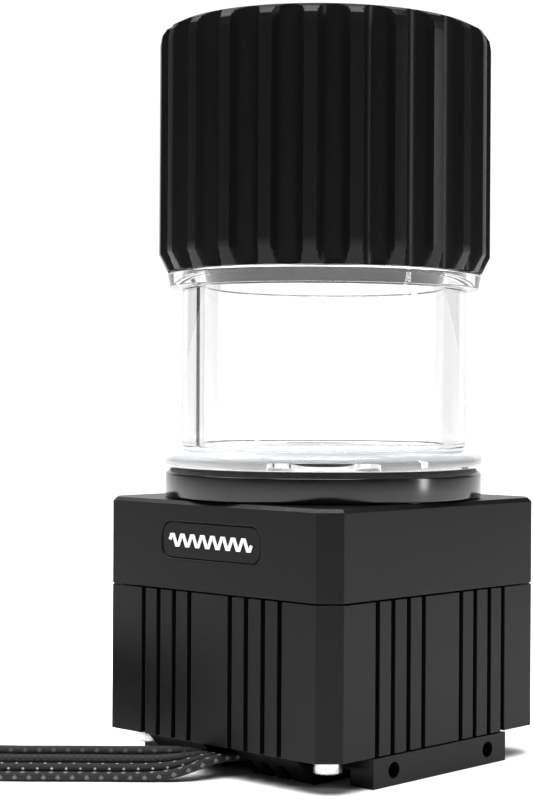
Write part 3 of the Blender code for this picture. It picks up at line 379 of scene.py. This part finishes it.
def runs_along(axis):
    """A test for edges that run along the given axis: 0, 1 or 2."""

    def test(edge):
        span = edge.verts[0].co - edge.verts[1].co
        return abs(span[axis]) > 0.999 * span.length

    return test


def repeat_round(work, count):
    """Repeats everything in the bmesh at equal turns about the Z axis."""
    bmesh.ops.spin(
        work,
        geom=work.verts[:] + work.edges[:] + work.faces[:],
        cent=(0, 0, 0),
        axis=(0, 0, 1),
        angle=2 * math.pi * (count - 1) / count,
        steps=count - 1,
        use_duplicate=True,
    )


def cut(obj, work):
    """Cuts the bmesh's shapes from the object."""
    tool = add_object("tool", work)
    modifier = obj.modifiers.new("cut", "BOOLEAN")
    modifier.operation = "DIFFERENCE"
    modifier.solver = "EXACT"
    modifier.object = tool
    graph = bpy.context.evaluated_depsgraph_get()
    result = bpy.data.meshes.new_from_object(obj.evaluated_get(graph))
    obj.modifiers.clear()
    before = obj.data
    obj.data = result
    bpy.data.meshes.remove(before)
    bpy.data.objects.remove(tool)
    return obj


def soften(obj):
    """Fine rounding on the sharp edges, so that they catch the light."""
    bevel = obj.modifiers.new("edges", "BEVEL")
    bevel.width = EDGE_ROUNDING
    bevel.segments = 2
    bevel.limit_method = "ANGLE"
    bevel.angle_limit = SHARP_EDGE_ANGLE
    bevel.harden_normals = True
    return obj


def corner_points(x, y):
    return [(sx * x, sy * y) for sx in (1, -1) for sy in (1, -1)]


# ---- Materials ----


def new_material(name):
    made = bpy.data.materials.new(name)
    made.use_nodes = True
    tree = made.node_tree
    return made, tree, tree.nodes["Principled BSDF"]


def noise(tree, scale):
    """Noise over the object's own coordinates, in cells per metre."""
    coordinate = tree.nodes.new("ShaderNodeTexCoord")
    texture = tree.nodes.new("ShaderNodeTexNoise")
    texture.inputs["Scale"].default_value = scale
    texture.inputs["Detail"].default_value = 3.0
    tree.links.new(coordinate.outputs["Object"], texture.inputs["Vector"])
    return texture.outputs["Fac"]


def spread_colour(tree, shader, source, dark, light):
    ramp = tree.nodes.new("ShaderNodeValToRGB")
    ramp.color_ramp.elements[0].position = 0.35
    ramp.color_ramp.elements[1].position = 0.65
    ramp.color_ramp.elements[0].color = (*dark, 1.0)
    ramp.color_ramp.elements[1].color = (*light, 1.0)
    tree.links.new(source, ramp.inputs["Fac"])
    tree.links.new(ramp.outputs["Color"], shader.inputs["Base Color"])


def spread_roughness(tree, shader, source, low, high):
    reach = tree.nodes.new("ShaderNodeMapRange")
    reach.inputs["From Min"].default_value = 0.3
    reach.inputs["From Max"].default_value = 0.7
    reach.inputs["To Min"].default_value = low
    reach.inputs["To Max"].default_value = high
    tree.links.new(source, reach.inputs["Value"])
    tree.links.new(reach.outputs["Result"], shader.inputs["Roughness"])


def add_bump(tree, shader, source, height):
    bump = tree.nodes.new("ShaderNodeBump")
    bump.inputs["Strength"].default_value = 1.0
    bump.inputs["Distance"].default_value = height
    tree.links.new(source, bump.inputs["Height"])
    tree.links.new(bump.outputs["Normal"], shader.inputs["Normal"])


def surface(name, dark, light, roughness, grain, height, metallic, specular):
    """A material whose colour, roughness and fine relief follow noise."""
    made, tree, shader = new_material(name)
    shader.inputs["Metallic"].default_value = metallic
    shader.inputs["Specular IOR Level"].default_value = specular
    fine = noise(tree, grain)
    spread_colour(tree, shader, fine, dark, light)
    spread_roughness(tree, shader, noise(tree, grain / 9), *roughness)
    add_bump(tree, shader, fine, height)
    return made


def clear_material():
    made, tree, shader = new_material("clear_acrylic")
    shader.inputs["Base Color"].default_value = (0.985, 0.99, 0.99, 1.0)
    shader.inputs["Transmission Weight"].default_value = 1.0
    shader.inputs["IOR"].default_value = 1.49
    spread_roughness(tree, shader, noise(tree, 90.0), 0.0, 0.012)
    return made


def braid_material(name, tracer, tracer_length, tracer_share):
    """Woven sleeve: two crossing families of threads along a tube's UV, with tracer threads."""
    made, tree, shader = new_material(name)
    shader.inputs["Specular IOR Level"].default_value = 0.35
    coordinate = tree.nodes.new("ShaderNodeTexCoord")
    split = tree.nodes.new("ShaderNodeSeparateXYZ")
    tree.links.new(coordinate.outputs["UV"], split.inputs["Vector"])

    def math_node(operation, a, b=None):
        node = tree.nodes.new("ShaderNodeMath")
        node.operation = operation
        for socket, value in zip(node.inputs, (a, b)):
            if value is None:
                continue
            if isinstance(value, float):
                socket.default_value = value
            else:
                tree.links.new(value, socket)
        return node.outputs["Value"]

    # U counts cells of the weave along the lead, V goes once round it.
    around = math_node("MULTIPLY", split.outputs["Y"], SLEEVE_CELLS_ROUND)
    left = math_node("ADD", split.outputs["X"], around)
    right = math_node("SUBTRACT", split.outputs["X"], around)
    waves = [math_node("SINE", math_node("MULTIPLY", part, 2 * math.pi)) for part in (left, right)]
    weave = math_node("ABSOLUTE", math_node("MULTIPLY", waves[0], waves[1]))
    cell = math_node("FRACT", math_node("MULTIPLY", left, 1.0 / tracer_length))
    lane = math_node("FRACT", math_node("MULTIPLY", right, 1.0 / tracer_length))
    near = math_node("LESS_THAN", cell, tracer_share)
    beside = math_node("LESS_THAN", lane, tracer_share)
    picked = math_node("MULTIPLY", near, beside)
    mix = tree.nodes.new("ShaderNodeMix")
    mix.data_type = "RGBA"
    mix.inputs["A"].default_value = (0.006, 0.006, 0.0065, 1.0)
    mix.inputs["B"].default_value = (*tracer, 1.0)
    tree.links.new(picked, mix.inputs["Factor"])
    tree.links.new(mix.outputs["Result"], shader.inputs["Base Color"])
    spread_roughness(tree, shader, weave, 0.45, 0.7)
    add_bump(tree, shader, weave, 0.00006)
    return made


def glowing(name, level):
    """A card that shows at one even level whatever light falls on it."""
    material = bpy.data.materials.new(name)
    material.use_nodes = True
    shader = material.node_tree.nodes["Principled BSDF"]
    shader.inputs["Base Color"].default_value = (0.0, 0.0, 0.0, 1.0)
    shader.inputs["Specular IOR Level"].default_value = 0.0
    shader.inputs["Emission Color"].default_value = (1.0, 1.0, 1.0, 1.0)
    shader.inputs["Emission Strength"].default_value = level
    return material


SURFACES = {
    # key: name, dark and light colour, low and high roughness, noise cells per metre, relief,
    # metallic, specular
    "anodised": (
        "black_anodised",
        (0.0030, 0.0030, 0.0032), (0.0050, 0.0050, 0.0052), (0.30, 0.38), 9000.0, 0.000006, 0.0, 0.15,
    ),
    "gloss": (
        "black_gloss",
        (0.003, 0.003, 0.0032), (0.005, 0.005, 0.0052), (0.10, 0.17), 1500.0, 0.000001, 0.0, 0.45,
    ),
    "dull": (
        "dull_black",
        (0.0045, 0.0045, 0.0047), (0.008, 0.008, 0.008), (0.75, 0.9), 4000.0, 0.00001, 0.0, 0.1,
    ),
    "rubber": (
        "black_rubber",
        (0.010, 0.010, 0.010), (0.022, 0.022, 0.022), (0.6, 0.8), 5000.0, 0.00001, 0.0, 0.5,
    ),
    "print": (
        "white_print",
        (0.80, 0.80, 0.79), (0.90, 0.90, 0.89), (0.4, 0.5), 4000.0, 0.000004, 0.0, 0.5,
    ),
    "steel": (
        "steel",
        (0.50, 0.49, 0.47), (0.66, 0.65, 0.63), (0.22, 0.36), 6000.0, 0.000004, 1.0, 0.5,
    ),
    "plastic": (
        "motor_plastic",
        (0.010, 0.010, 0.010), (0.020, 0.020, 0.020), (0.4, 0.5), 3000.0, 0.000006, 0.0, 0.5,
    ),
    "pale": (
        "impeller_plastic",
        (0.48, 0.49, 0.51), (0.60, 0.61, 0.63), (0.4, 0.5), 2500.0, 0.000005, 0.0, 0.5,
    ),
    "magnet": (
        "magnet",
        (0.05, 0.05, 0.055), (0.10, 0.10, 0.11), (0.5, 0.7), 4000.0, 0.00001, 0.0, 0.5,
    ),
    "ceramic": (
        "ceramic",
        (0.80, 0.78, 0.72), (0.90, 0.88, 0.83), (0.12, 0.2), 2000.0, 0.000002, 0.0, 0.5,
    ),
    "lamination": (
        "lamination",
        (0.28, 0.28, 0.29), (0.42, 0.42, 0.43), (0.4, 0.55), 5000.0, 0.00001, 0.9, 0.5,
    ),
    "copper": (
        "copper",
        (0.60, 0.25, 0.10), (0.80, 0.40, 0.18), (0.25, 0.4), 2500.0, 0.00003, 1.0, 0.5,
    ),
    "board": (
        "board",
        (0.012, 0.09, 0.035), (0.03, 0.15, 0.07), (0.35, 0.5), 1500.0, 0.000004, 0.0, 0.5,
    ),
    "pad": (
        "pad",
        (0.38, 0.43, 0.54), (0.50, 0.55, 0.66), (0.8, 0.95), 2500.0, 0.00002, 0.0, 0.5,
    ),
    "floor": (
        "floor",
        (0.80, 0.80, 0.80), (0.83, 0.83, 0.83), (0.6, 0.7), 40.0, 0.00001, 0.0, 0.5,
    ),
    # whitish diffuse colour for the clear tube's flat underside, which lightens the band at its foot
    "whitish_underside": (
        "whitish_underside",
        (0.42, 0.43, 0.44), (0.50, 0.51, 0.52), (0.45, 0.6), 300.0, 0.00001, 0.0, 0.5,
    ),
}
BRAIDS = {
    # key: name, tracer colour, cells from one tracer to the next, the tracer's share of them
    "braid_1": ("braid_long_dash", (0.12, 0.12, 0.11), 3.5, 0.40),
    "braid_2": ("braid_white_dot", (0.42, 0.42, 0.41), 3.5, 0.22),
    "braid_3": ("braid_plain", (0.020, 0.023, 0.032), 1.75, 0.5),
    "braid_4": ("braid_grey_dash", (0.06, 0.06, 0.06), 3.5, 0.35),
}


def make_materials():
    looks = {key: surface(*values) for key, values in SURFACES.items()}
    looks.update({key: braid_material(*values) for key, values in BRAIDS.items()})
    looks["clear"] = clear_material()
    looks["dark_card"] = glowing("dark_card", DARK_CARD_STRENGTH)
    looks["grey_card"] = glowing("grey_card", GREY_CARD_STRENGTH)
    return looks


def paint(obj, finish):
    obj.data.materials.clear()
    obj.data.materials.append(finish)
    return obj


CAD_LOOKS = {
    # finish: CAD nodes that keep their own mesh
    "anodised": ("badge_plate", "base_heatsink", "fill_plug"),
    "dull": ("cap_plug",),
    "rubber": (
        "cap_gasket",
        "cap_seal_1",
        "cap_seal_2",
        "fill_plug_seal",
        "tube_foot_seal",
        "collar_seal",
        "pump_seal",
        "wire_grommet",
        "coil_tie",
    ),
    "print": ("badge_wave",),
    "steel": ("rotor_can", "base_screw_1", "base_screw_2", "base_screw_3", "base_screw_4"),
    "plastic": ("driver_chip", "motor_shell", "power_connector", "signal_connector"),
    "pale": ("impeller",),
    "magnet": ("rotor_magnet",),
    "ceramic": ("bearing_post",),
    "lamination": ("stator_core",),
    "copper": tuple(f"stator_coil_{n}" for n in range(1, 7)),
    "board": ("driver_board",),
    "pad": ("thermal_pad",),
}


def paint_cad(frame, looks):
    for finish, nodes in CAD_LOOKS.items():
        for node in nodes:
            obj = frame["nodes"][node]
            for index in range(len(obj.material_slots)):
                obj.material_slots[index].material = looks[finish]
            if not obj.material_slots:
                obj.data.materials.append(looks[finish])


# ---- Square body ----


def add_body_block(work, low, high, top_bevel):
    add_box(work, (-BODY_HALF, -BODY_HALF, low), (BODY_HALF, BODY_HALF, high))
    bevel_edges(work, runs_along(2), BODY_CHAMFER)
    if top_bevel:
        rim = high - WELD_DISTANCE
        bevel_edges(work, lambda edge: min(v.co.z for v in edge.verts) > rim, top_bevel)


def housing():
    work = bmesh.new()
    add_body_block(work, HOUSING_BOTTOM, HOUSING_TOP, 0.0)
    obj = add_object("housing_skin", work)
    below, above = HOUSING_BOTTOM - OVERRUN, HOUSING_TOP + OVERRUN
    slots = bmesh.new()
    for side in (-1, 1):
        for offset in SLOT_OFFSETS:
            low_y = side * offset - SLOT_WIDTH / 2
            low = (BODY_HALF - SLOT_DEPTH, low_y, below)
            add_box(slots, low, (BODY_HALF + OVERRUN, low_y + SLOT_WIDTH, above))
    repeat_round(slots, 4)
    cut(obj, slots)
    bores = bmesh.new()
    add_rod(bores, (0, 0, below), (0, 0, above), HOUSING_BORE, BORE_STEPS)
    for x, y in corner_points(CORNER_SCREW_OFFSET, CORNER_SCREW_OFFSET):
        add_rod(bores, (x, y, below), (x, y, above), CORNER_SHANK_RADIUS + SCREW_CLEARANCE, HOLE_STEPS)
    cut(obj, bores)
    return soften(shade(obj))


def pump_block():
    work = bmesh.new()
    add_body_block(work, PUMP_TOP_BOTTOM, DECK, DECK_BEVEL)
    obj = add_object("pump_block", work)
    recess = bmesh.new()
    add_rod(recess, (0, 0, RECESS_FLOOR), (0, 0, DECK + OVERRUN), RECESS_RADIUS, BORE_STEPS)
    cut(obj, recess)
    inside = bmesh.new()
    add_rod(inside, (0, 0, PUMP_TOP_BOTTOM - OVERRUN), (0, 0, VOLUTE_TOP), VOLUTE_RADIUS, VOLUTE_STEPS)
    cut(obj, inside)
    eye = bmesh.new()
    add_rod(eye, (0, 0, VOLUTE_TOP - OVERRUN), (0, 0, RECESS_FLOOR + OVERRUN), EYE_RADIUS, EYE_STEPS)
    cut(obj, eye)
    riser = bmesh.new()
    riser_top = (RISER_X, RETURN_Y, RECESS_FLOOR + OVERRUN)
    add_rod(riser, (RISER_X, RETURN_Y, RISER_BOTTOM), riser_top, RISER_RADIUS, HOLE_STEPS)
    cut(obj, riser)
    cut(obj, port_mouth((OUTLET_X, BODY_HALF, PORT_Z), math.pi / 2))
    cut(obj, port_mouth((-BODY_HALF, RETURN_Y, PORT_Z), math.pi))
    cut(obj, badge_pocket())
    return soften(shade(obj))


def port_mouth(mouth, turn):
    """A threaded port with a chamfered mouth, which opens towards +X turned about the Z axis."""
    profile = [(0.0, -PORT_DEPTH)]
    x = -PORT_DEPTH
    for _ in range(int(PORT_DEPTH / PORT_PITCH)):
        profile += [
            (PORT_RADIUS - PORT_THREAD_DEPTH / 2, x),
            (PORT_RADIUS + PORT_THREAD_DEPTH / 2, x + PORT_PITCH / 2),
        ]
        x += PORT_PITCH
    profile += [
        (PORT_RADIUS, -PORT_CHAMFER),
        (PORT_RADIUS + PORT_CHAMFER, 0.0),
        (PORT_RADIUS + PORT_CHAMFER, OVERRUN),
        (0.0, OVERRUN),
    ]
    work = bmesh.new()
    add_turned(work, profile, PORT_STEPS)
    bmesh.ops.rotate(work, verts=work.verts, cent=(0, 0, 0), matrix=Matrix.Rotation(math.pi / 2, 3, "Y"))
    place = Matrix.Translation(mouth) @ Matrix.Rotation(turn, 4, "Z")
    bmesh.ops.transform(work, verts=work.verts, matrix=place)
    return work


def badge_pocket():
    """Oblong pocket in the -Y face, with a fine chamfer round its mouth."""
    lip = BADGE_LIP
    back, mouth, front = -BODY_HALF + BADGE_DEPTH, -BODY_HALF + lip, -BODY_HALF - lip
    work = bmesh.new()
    add_loft(work, [badge_loop(grow, y) for grow, y in ((0.0, back), (0.0, mouth), (2 * lip, front))])
    return work


def badge_loop(grow, y):
    length, height, corner = BADGE_HALF_LENGTH + grow, BADGE_HALF_HEIGHT + grow, BADGE_CORNER + grow
    loop = []
    for quarter in range(4):
        sx = 1 if quarter in (0, 3) else -1
        sz = 1 if quarter in (0, 1) else -1
        for k in range(BADGE_CORNER_STEPS + 1):
            angle = math.pi / 2 * (quarter + k / BADGE_CORNER_STEPS)
            x = sx * (length - corner) + corner * math.cos(angle)
            z = BADGE_Z + sz * (height - corner) + corner * math.sin(angle)
            loop.append((x, y, z))
    return loop


def corner_screw(number, x, y):
    top = HOUSING_BOTTOM - SCREW_CLEARANCE / 2
    bottom = top - CORNER_HEAD_HEIGHT
    profile = [
        (0.0, bottom),
        (CORNER_HEAD_RADIUS, bottom),
        (CORNER_HEAD_RADIUS, top),
        (CORNER_SHANK_RADIUS, top),
        (CORNER_SHANK_RADIUS, CORNER_SHANK_TOP),
        (0.0, CORNER_SHANK_TOP),
    ]
    radii = (0.0, 0.0003, 0.0001, 0.0, 0.0003, 0.0)
    obj = turned_object(f"cap_screw_{number}", rounded(profile, radii, 3), SCREW_STEPS)
    socket = bmesh.new()
    add_rod(socket, (0, 0, bottom - OVERRUN), (0, 0, bottom + CORNER_HEX_DEPTH), CORNER_HEX_RADIUS, 6)
    cut(obj, socket)
    shade(obj)
    obj.location = (x, y, 0.0)
    return obj


# ---- Reservoir and cap ----


def collar():
    groove_inner, groove_outer = COLLAR_GROOVE
    profile = [
        (COLLAR_BORE, COLLAR_LEDGE),
        (COLLAR_LOWER_RADIUS, COLLAR_LEDGE),
        (COLLAR_LOWER_RADIUS, COLLAR_BOTTOM),
        (COLLAR_RADIUS, COLLAR_BOTTOM),
        (COLLAR_RADIUS, COLLAR_SHOULDER - COLLAR_BEVEL),
        (COLLAR_RADIUS - COLLAR_BEVEL, COLLAR_SHOULDER),
        (groove_outer, COLLAR_SHOULDER),
        (groove_outer, COLLAR_GROOVE_FLOOR),
        (groove_inner, COLLAR_GROOVE_FLOOR),
        (groove_inner, COLLAR_SHOULDER),
        (COLLAR_BORE, COLLAR_SHOULDER),
    ]
    radii = (0.0, 0.0002, 0.0, 0.0003, 0.0004, 0.0004, 0.0, 0.0, 0.0, 0.0, 0.0002)
    return turned_object("collar_skin", rounded(profile, radii), COLLAR_STEPS)


def tube():
    profile = [
        (TUBE_INNER, TUBE_TOP),
        (TUBE_OUTER, TUBE_TOP),
        (TUBE_OUTER, SHOULDER_TOP),
        (SHOULDER_RADIUS, SHOULDER_TOP),
        (SHOULDER_EDGE_RADIUS, SHOULDER_BOTTOM),
        (TUBE_OUTER, SHOULDER_BOTTOM),
        (TUBE_OUTER, WAIST_HEIGHT),
        (WAIST_RADIUS, FOOT_TOP),
        (FOOT_RADIUS, FOOT_EDGE_HEIGHT),
        (FOOT_RADIUS, TUBE_BOTTOM),
        (TUBE_FLOOR_HOLE, TUBE_BOTTOM),
        (TUBE_FLOOR_HOLE, TUBE_FLOOR_TOP),
        (TUBE_INNER, TUBE_FLOOR_TOP),
    ]
    return turned_object("clear_tube", rounded(profile, TUBE_EDGE_RADII, 6), TUBE_STEPS)


def whiten_underside(obj, finish):
    """Gives the flat underside of the clear tube a whitish diffuse colour, which lightens the band at
    the tube's foot.
    """
    obj.data.materials.append(finish)
    for face in obj.data.polygons:
        if face.normal.z < -0.9 and face.center.z < TUBE_BOTTOM + 0.0001:
            face.material_index = 1


def cap():
    """Fluted cap: a fine polar grid whose outer wall is the smaller of the profile and the flutes."""
    around = FLUTE_COUNT * STEPS_PER_FLUTE
    phase = math.radians(FLUTE_PHASE_DEG)
    outer = [
        (CAP_TOP_RIM, CAP_TOP),
        *[(radius, CAP_TOP - drop) for radius, drop in CAP_TOP_ROUND],
        (CAP_RADIUS, CAP_BOTTOM + CAP_LIP_CHAMFER),
        (CAP_LIP_RADIUS, CAP_BOTTOM),
    ]
    rows = []
    for (r0, z0), (r1, z1), steps in zip(outer, outer[1:], (10, 8, 10, 24, 22)):
        for k in range(steps):
            part = k / steps
            rows.append((r0 + (r1 - r0) * part, z0 + (z1 - z0) * part))
    rows.append(outer[-1])
    seat = FILL_HEAD_RADIUS + FILL_HEAD_GAP
    top = (
        (FILL_BORE, CAP_CEILING),
        (FILL_BORE, CAP_TOP - FILL_SEAT_DEPTH),
        (seat, CAP_TOP - FILL_SEAT_DEPTH),
        (seat, CAP_TOP - FILL_SEAT_CHAMFER),
        (seat + FILL_SEAT_CHAMFER, CAP_TOP),
        (CAP_TOP_RIM - 0.0006, CAP_TOP),
        (CAP_TOP_RIM - 0.0002, CAP_TOP - 0.00003),
    )
    mouth = (
        (CAP_LIP_RADIUS - 0.00025, CAP_BOTTOM),
        (CAP_BORE + CAP_BORE_CHAMFER, CAP_BOTTOM),
        (CAP_BORE, CAP_BOTTOM + CAP_BORE_CHAMFER),
        (CAP_BORE, CAP_CEILING),
    )
    loops = [[point] * around for point in top]
    for radius, z in rows[1:]:
        loops.append([(fluted(radius, 2 * math.pi * k / around), z) for k in range(around)])
    loops += [[point] * around for point in mouth]
    work = bmesh.new()
    turns = [phase + 2 * math.pi * k / around for k in range(around)]
    add_loft(
        work,
        [[(r * math.cos(a), r * math.sin(a), z) for (r, z), a in zip(loop, turns)] for loop in loops],
        closed=True,
    )
    return shade(add_object("cap_skin", work))


def fluted(radius, turn):
    """The wall's radius at this turn from a flute's middle, with the edges of the flute softened."""
    pitch = 2 * math.pi / FLUTE_COUNT
    off = (turn + pitch / 2) % pitch - pitch / 2
    across = CAP_RADIUS * math.sin(off)
    inside = FLUTE_RADIUS**2 - across**2
    wall = CAP_RADIUS * math.cos(off) - math.copysign(math.sqrt(abs(inside)), inside)
    gap = (wall - radius) / FLUTE_EDGE_BLEND
    if gap > 1:
        return radius
    if gap < -1:
        return wall
    return (wall + radius) / 2 - FLUTE_EDGE_BLEND * (1 + gap**2) / 4


# ---- Leads ----


def smooth_route(rows, steps):
    """Catmull-Rom points through the given rows, with the given number of steps in each gap."""
    ends = [rows[0], *rows, rows[-1]]
    made = []
    for a, b, c, d in zip(ends, ends[1:], ends[2:], ends[3:]):
        for k in range(steps):
            t = k / steps
            row = []
            for p, q, r, s in zip(a, b, c, d):
                bend = (2 * p - 5 * q + 4 * r - s) * t**2 + (3 * q - p - 3 * r + s) * t**3
                row.append(q + ((r - p) * t + bend) / 2)
            made.append(row)
    made.append(list(rows[-1]))
    return made


def lead_points(number):
    """Centre line of one lead: out of the body, round the coil inwards, up into its connector."""
    place = (number - (LEAD_COUNT - 1) / 2) * LEAD_PITCH
    line = []
    for x, y, z, heading, lean in ROUTE:
        turn, tilt = math.radians(heading), math.radians(lean)
        side = math.cos(tilt) * place
        line.append((x + side * math.sin(turn), y - side * math.cos(turn), z + math.sin(tilt) * place))
    height = COIL_LOWEST + number * LEAD_PITCH
    turned = Matrix.Rotation(math.radians(COIL_TURN_DEG), 3, "Z")
    centre = Vector((*COIL_CENTRE, 0.0))
    steps = COIL_TURNS * COIL_STEPS - COIL_STEPS // 4
    for k in range(steps + 1):
        part = k / steps
        angle = -math.pi / 2 - 2 * math.pi * k / COIL_STEPS
        radius = COIL_OUTER + (COIL_INNER - COIL_OUTER) * part
        local = Vector((radius * math.cos(angle), radius * math.sin(angle), height))
        line.append(tuple(centre + turned @ local))
    for point in LEAD_ENDS[number]:
        line.append(tuple(centre + turned @ Vector(point)))
    return smooth_route(line, LEAD_ROUTE_STEPS)


def lead_tube(name, points):
    """A round tube along the points, with U in cells of the weave along it and V round it."""
    path = [Vector(p) for p in points]
    work = bmesh.new()
    up = Vector((1.0, 0.0, 0.0))
    loops, travelled, run = [], [0.0], 0.0
    for a, b in zip(path, path[1:]):
        run += (b - a).length
        travelled.append(run)
    for i, at in enumerate(path):
        ahead = (path[min(i + 1, len(path) - 1)] - path[max(i - 1, 0)]).normalized()
        up = (up - ahead * up.dot(ahead)).normalized()
        side = ahead.cross(up)
        ring = [2 * math.pi * k / LEAD_SIDES for k in range(LEAD_SIDES)]
        loops.append([at + (up * math.cos(a) + side * math.sin(a)) * LEAD_RADIUS for a in ring])
    rings = [[work.verts.new(p) for p in loop] for loop in loops]
    uv = work.loops.layers.uv.new("sleeve")
    for i, (low, high) in enumerate(zip(rings, rings[1:])):
        for k in range(LEAD_SIDES):
            n = (k + 1) % LEAD_SIDES
            face = work.faces.new((low[k], low[n], high[n], high[k]))
            corners = ((i, k), (i, k + 1), (i + 1, k + 1), (i + 1, k))
            for corner, (row, column) in zip(face.loops, corners):
                corner[uv].uv = (travelled[row] / SLEEVE_CELL, column / LEAD_SIDES)
    work.faces.new(rings[0])
    work.faces.new(rings[-1])
    obj = add_object(name, work)
    obj.data.shade_smooth()
    return obj, run


def leads(looks):
    for number in range(LEAD_COUNT):
        points = lead_points(number)
        obj, length = lead_tube(f"sleeved_lead_{number + 1}", points)
        paint(obj, looks[f"braid_{number + 1}"])
        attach(obj, "pump")
        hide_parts(f"lead_{number + 1}", *(["lead_coil"] if number == 0 else []))


# ---- Studio ----


def camera():
    a = math.radians(CAMERA_AZIMUTH_DEG)
    data = bpy.data.cameras.new("camera")
    data.lens = LENS_MM
    data.sensor_width = SENSOR_MM
    data.shift_x, data.shift_y = SHIFT
    data.clip_start = 0.01
    data.clip_end = 20.0
    obj = bpy.data.objects.new("camera", data)
    bpy.context.collection.objects.link(obj)
    x = CAMERA_DISTANCE * math.sin(a) + CAMERA_SIDE * math.cos(a)
    y = -CAMERA_DISTANCE * math.cos(a) + CAMERA_SIDE * math.sin(a)
    obj.location = (x, y, CAMERA_HEIGHT)
    level = Matrix.Rotation(a, 4, "Z") @ Matrix.Rotation(math.pi / 2, 4, "X")
    roll = Matrix.Rotation(math.radians(CAMERA_ROLL_DEG), 4, "Z")
    obj.rotation_euler = (level @ roll).to_euler()
    bpy.context.scene.camera = obj


def area_light(name, azimuth_deg, elevation_deg, distance, size, power):
    """A rectangular softbox aimed at the middle of the object."""
    a, e = math.radians(azimuth_deg), math.radians(elevation_deg)
    data = bpy.data.lights.new(name, "AREA")
    data.shape = "RECTANGLE"
    data.size, data.size_y = size
    data.energy = power
    obj = bpy.data.objects.new(name, data)
    bpy.context.collection.objects.link(obj)
    aim = Vector((0.0, 0.0, LIGHT_AIM_HEIGHT))
    away = Vector((math.sin(a) * math.cos(e), -math.cos(a) * math.cos(e), math.sin(e)))
    obj.location = aim + away * distance
    obj.rotation_euler = away.to_track_quat("Z", "Y").to_euler()


def blend(tree, share, low, high):
    """A value that goes from low to high with the share; both may be numbers or sockets."""
    mix = tree.nodes.new("ShaderNodeMix")
    mix.data_type = "FLOAT"
    tree.links.new(share, mix.inputs["Factor"])
    for socket, value in ((mix.inputs["A"], low), (mix.inputs["B"], high)):
        if isinstance(value, float):
            socket.default_value = value
        else:
            tree.links.new(value, socket)
    return mix.outputs["Result"]


def facing(tree, direction):
    """How far the looked-at direction agrees with the given one: 1 along it, 0 across it."""
    coordinate = tree.nodes.new("ShaderNodeTexCoord")
    dot = tree.nodes.new("ShaderNodeVectorMath")
    dot.operation = "DOT_PRODUCT"
    dot.inputs[1].default_value = direction
    tree.links.new(coordinate.outputs["Generated"], dot.inputs[0])
    return dot.outputs["Value"]


def white_world():
    """A white backdrop behind the object and dim air round it."""
    world = bpy.data.worlds.new("world")
    world.use_nodes = True
    tree = world.node_tree
    path = tree.nodes.new("ShaderNodeLightPath")
    a = math.radians(CAMERA_AZIMUTH_DEG)
    behind = facing(tree, (-math.sin(a), math.cos(a), 0.0))
    edge = tree.nodes.new("ShaderNodeMapRange")
    edge.inputs["From Min"].default_value, edge.inputs["From Max"].default_value = BACKDROP_EDGE
    edge.inputs["To Min"].default_value = AMBIENT_STRENGTH
    edge.inputs["To Max"].default_value = BACKGROUND_STRENGTH
    tree.links.new(behind, edge.inputs["Value"])
    level = blend(tree, path.outputs["Is Glossy Ray"], AMBIENT_STRENGTH, edge.outputs["Result"])
    level = blend(tree, path.outputs["Is Transmission Ray"], level, THROUGH_CLEAR_STRENGTH)
    level = blend(tree, path.outputs["Is Camera Ray"], level, BACKGROUND_STRENGTH)
    background = tree.nodes["Background"]
    background.inputs["Color"].default_value = (1.0, 1.0, 1.0, 1.0)
    tree.links.new(level, background.inputs["Strength"])
    return world


def overhead_light():
    """Wide light from straight above that whitens the floor and leaves no glint on the object."""
    data = bpy.data.lights.new("overhead", "SUN")
    data.energy = OVERHEAD_ENERGY
    data.angle = math.radians(OVERHEAD_ANGLE_DEG)
    obj = bpy.data.objects.new("overhead", data)
    bpy.context.collection.objects.link(obj)
    obj.visible_glossy = False


def side_card(name, finish, turn_deg, distance, width):
    """Card out of view behind to one side, seen only where the clear wall bends the view toward it."""
    angle = math.radians(CAMERA_AZIMUTH_DEG + turn_deg)
    toward = Vector((-math.sin(angle), math.cos(angle), 0.0))
    across = Vector((-toward.y, toward.x, 0.0)) * (width / 2.0)
    foot = toward * distance
    rise = Vector((0.0, 0.0, CARD_HEIGHT))
    work = bmesh.new()
    corners = (foot - across, foot + across, foot + across + rise, foot - across + rise)
    work.faces.new([work.verts.new(corner) for corner in corners])
    card = add_object(name, work)
    paint(card, finish)
    card.visible_camera = False
    card.visible_shadow = False
    card.visible_diffuse = False
    card.visible_glossy = False


def studio(looks):
    bpy.context.scene.world = white_world()
    overhead_light()
    for light in LIGHTS:
        area_light(*light)
    work = bmesh.new()
    bmesh.ops.create_grid(work, x_segments=8, y_segments=8, size=FLOOR_HALF_SIZE)
    floor = add_object("floor", work)
    floor.location = (0.0, 0.0, -FLOOR_GAP)
    paint(floor, looks["floor"])
    for name, look, turn_deg, distance, width in CARDS:
        side_card(name, looks[look], turn_deg, distance, width)
    bpy.context.scene.view_settings.view_transform = "Standard"


def skin(obj, finish, body, material_slot, *nodes):
    """Paints a new piece and puts it in the place of its CAD nodes."""
    paint(obj, finish)
    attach(obj, body)
    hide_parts(*nodes)


def main():
    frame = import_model()
    looks = make_materials()
    camera()
    studio(looks)
    leads(looks)
    paint_cad(frame, looks)
    skin(housing(), looks["anodised"], "pump", "satin_black", "heatsink_housing")
    skin(pump_block(), looks["anodised"], "pump", "satin_black", "pump_top")
    skin(collar(), looks["gloss"], "pump", "gloss_black", "reservoir_collar")
    clear_tube = tube()
    skin(clear_tube, looks["clear"], "pump", "clear", "reservoir_tube")
    # whitish diffuse colour on the tube's flat underside, which lightens the band at its foot
    whiten_underside(clear_tube, looks["whitish_underside"])
    clear_tube.visible_shadow = False
    skin(cap(), looks["anodised"], "cap", "satin_black", "cap_shell")
    for number, (x, y) in enumerate(corner_points(CORNER_SCREW_OFFSET, CORNER_SCREW_OFFSET), 1):
        screw = corner_screw(number, x, y)
        skin(screw, looks["steel"], "pump", "steel", f"corner_screw_{number}")


main()
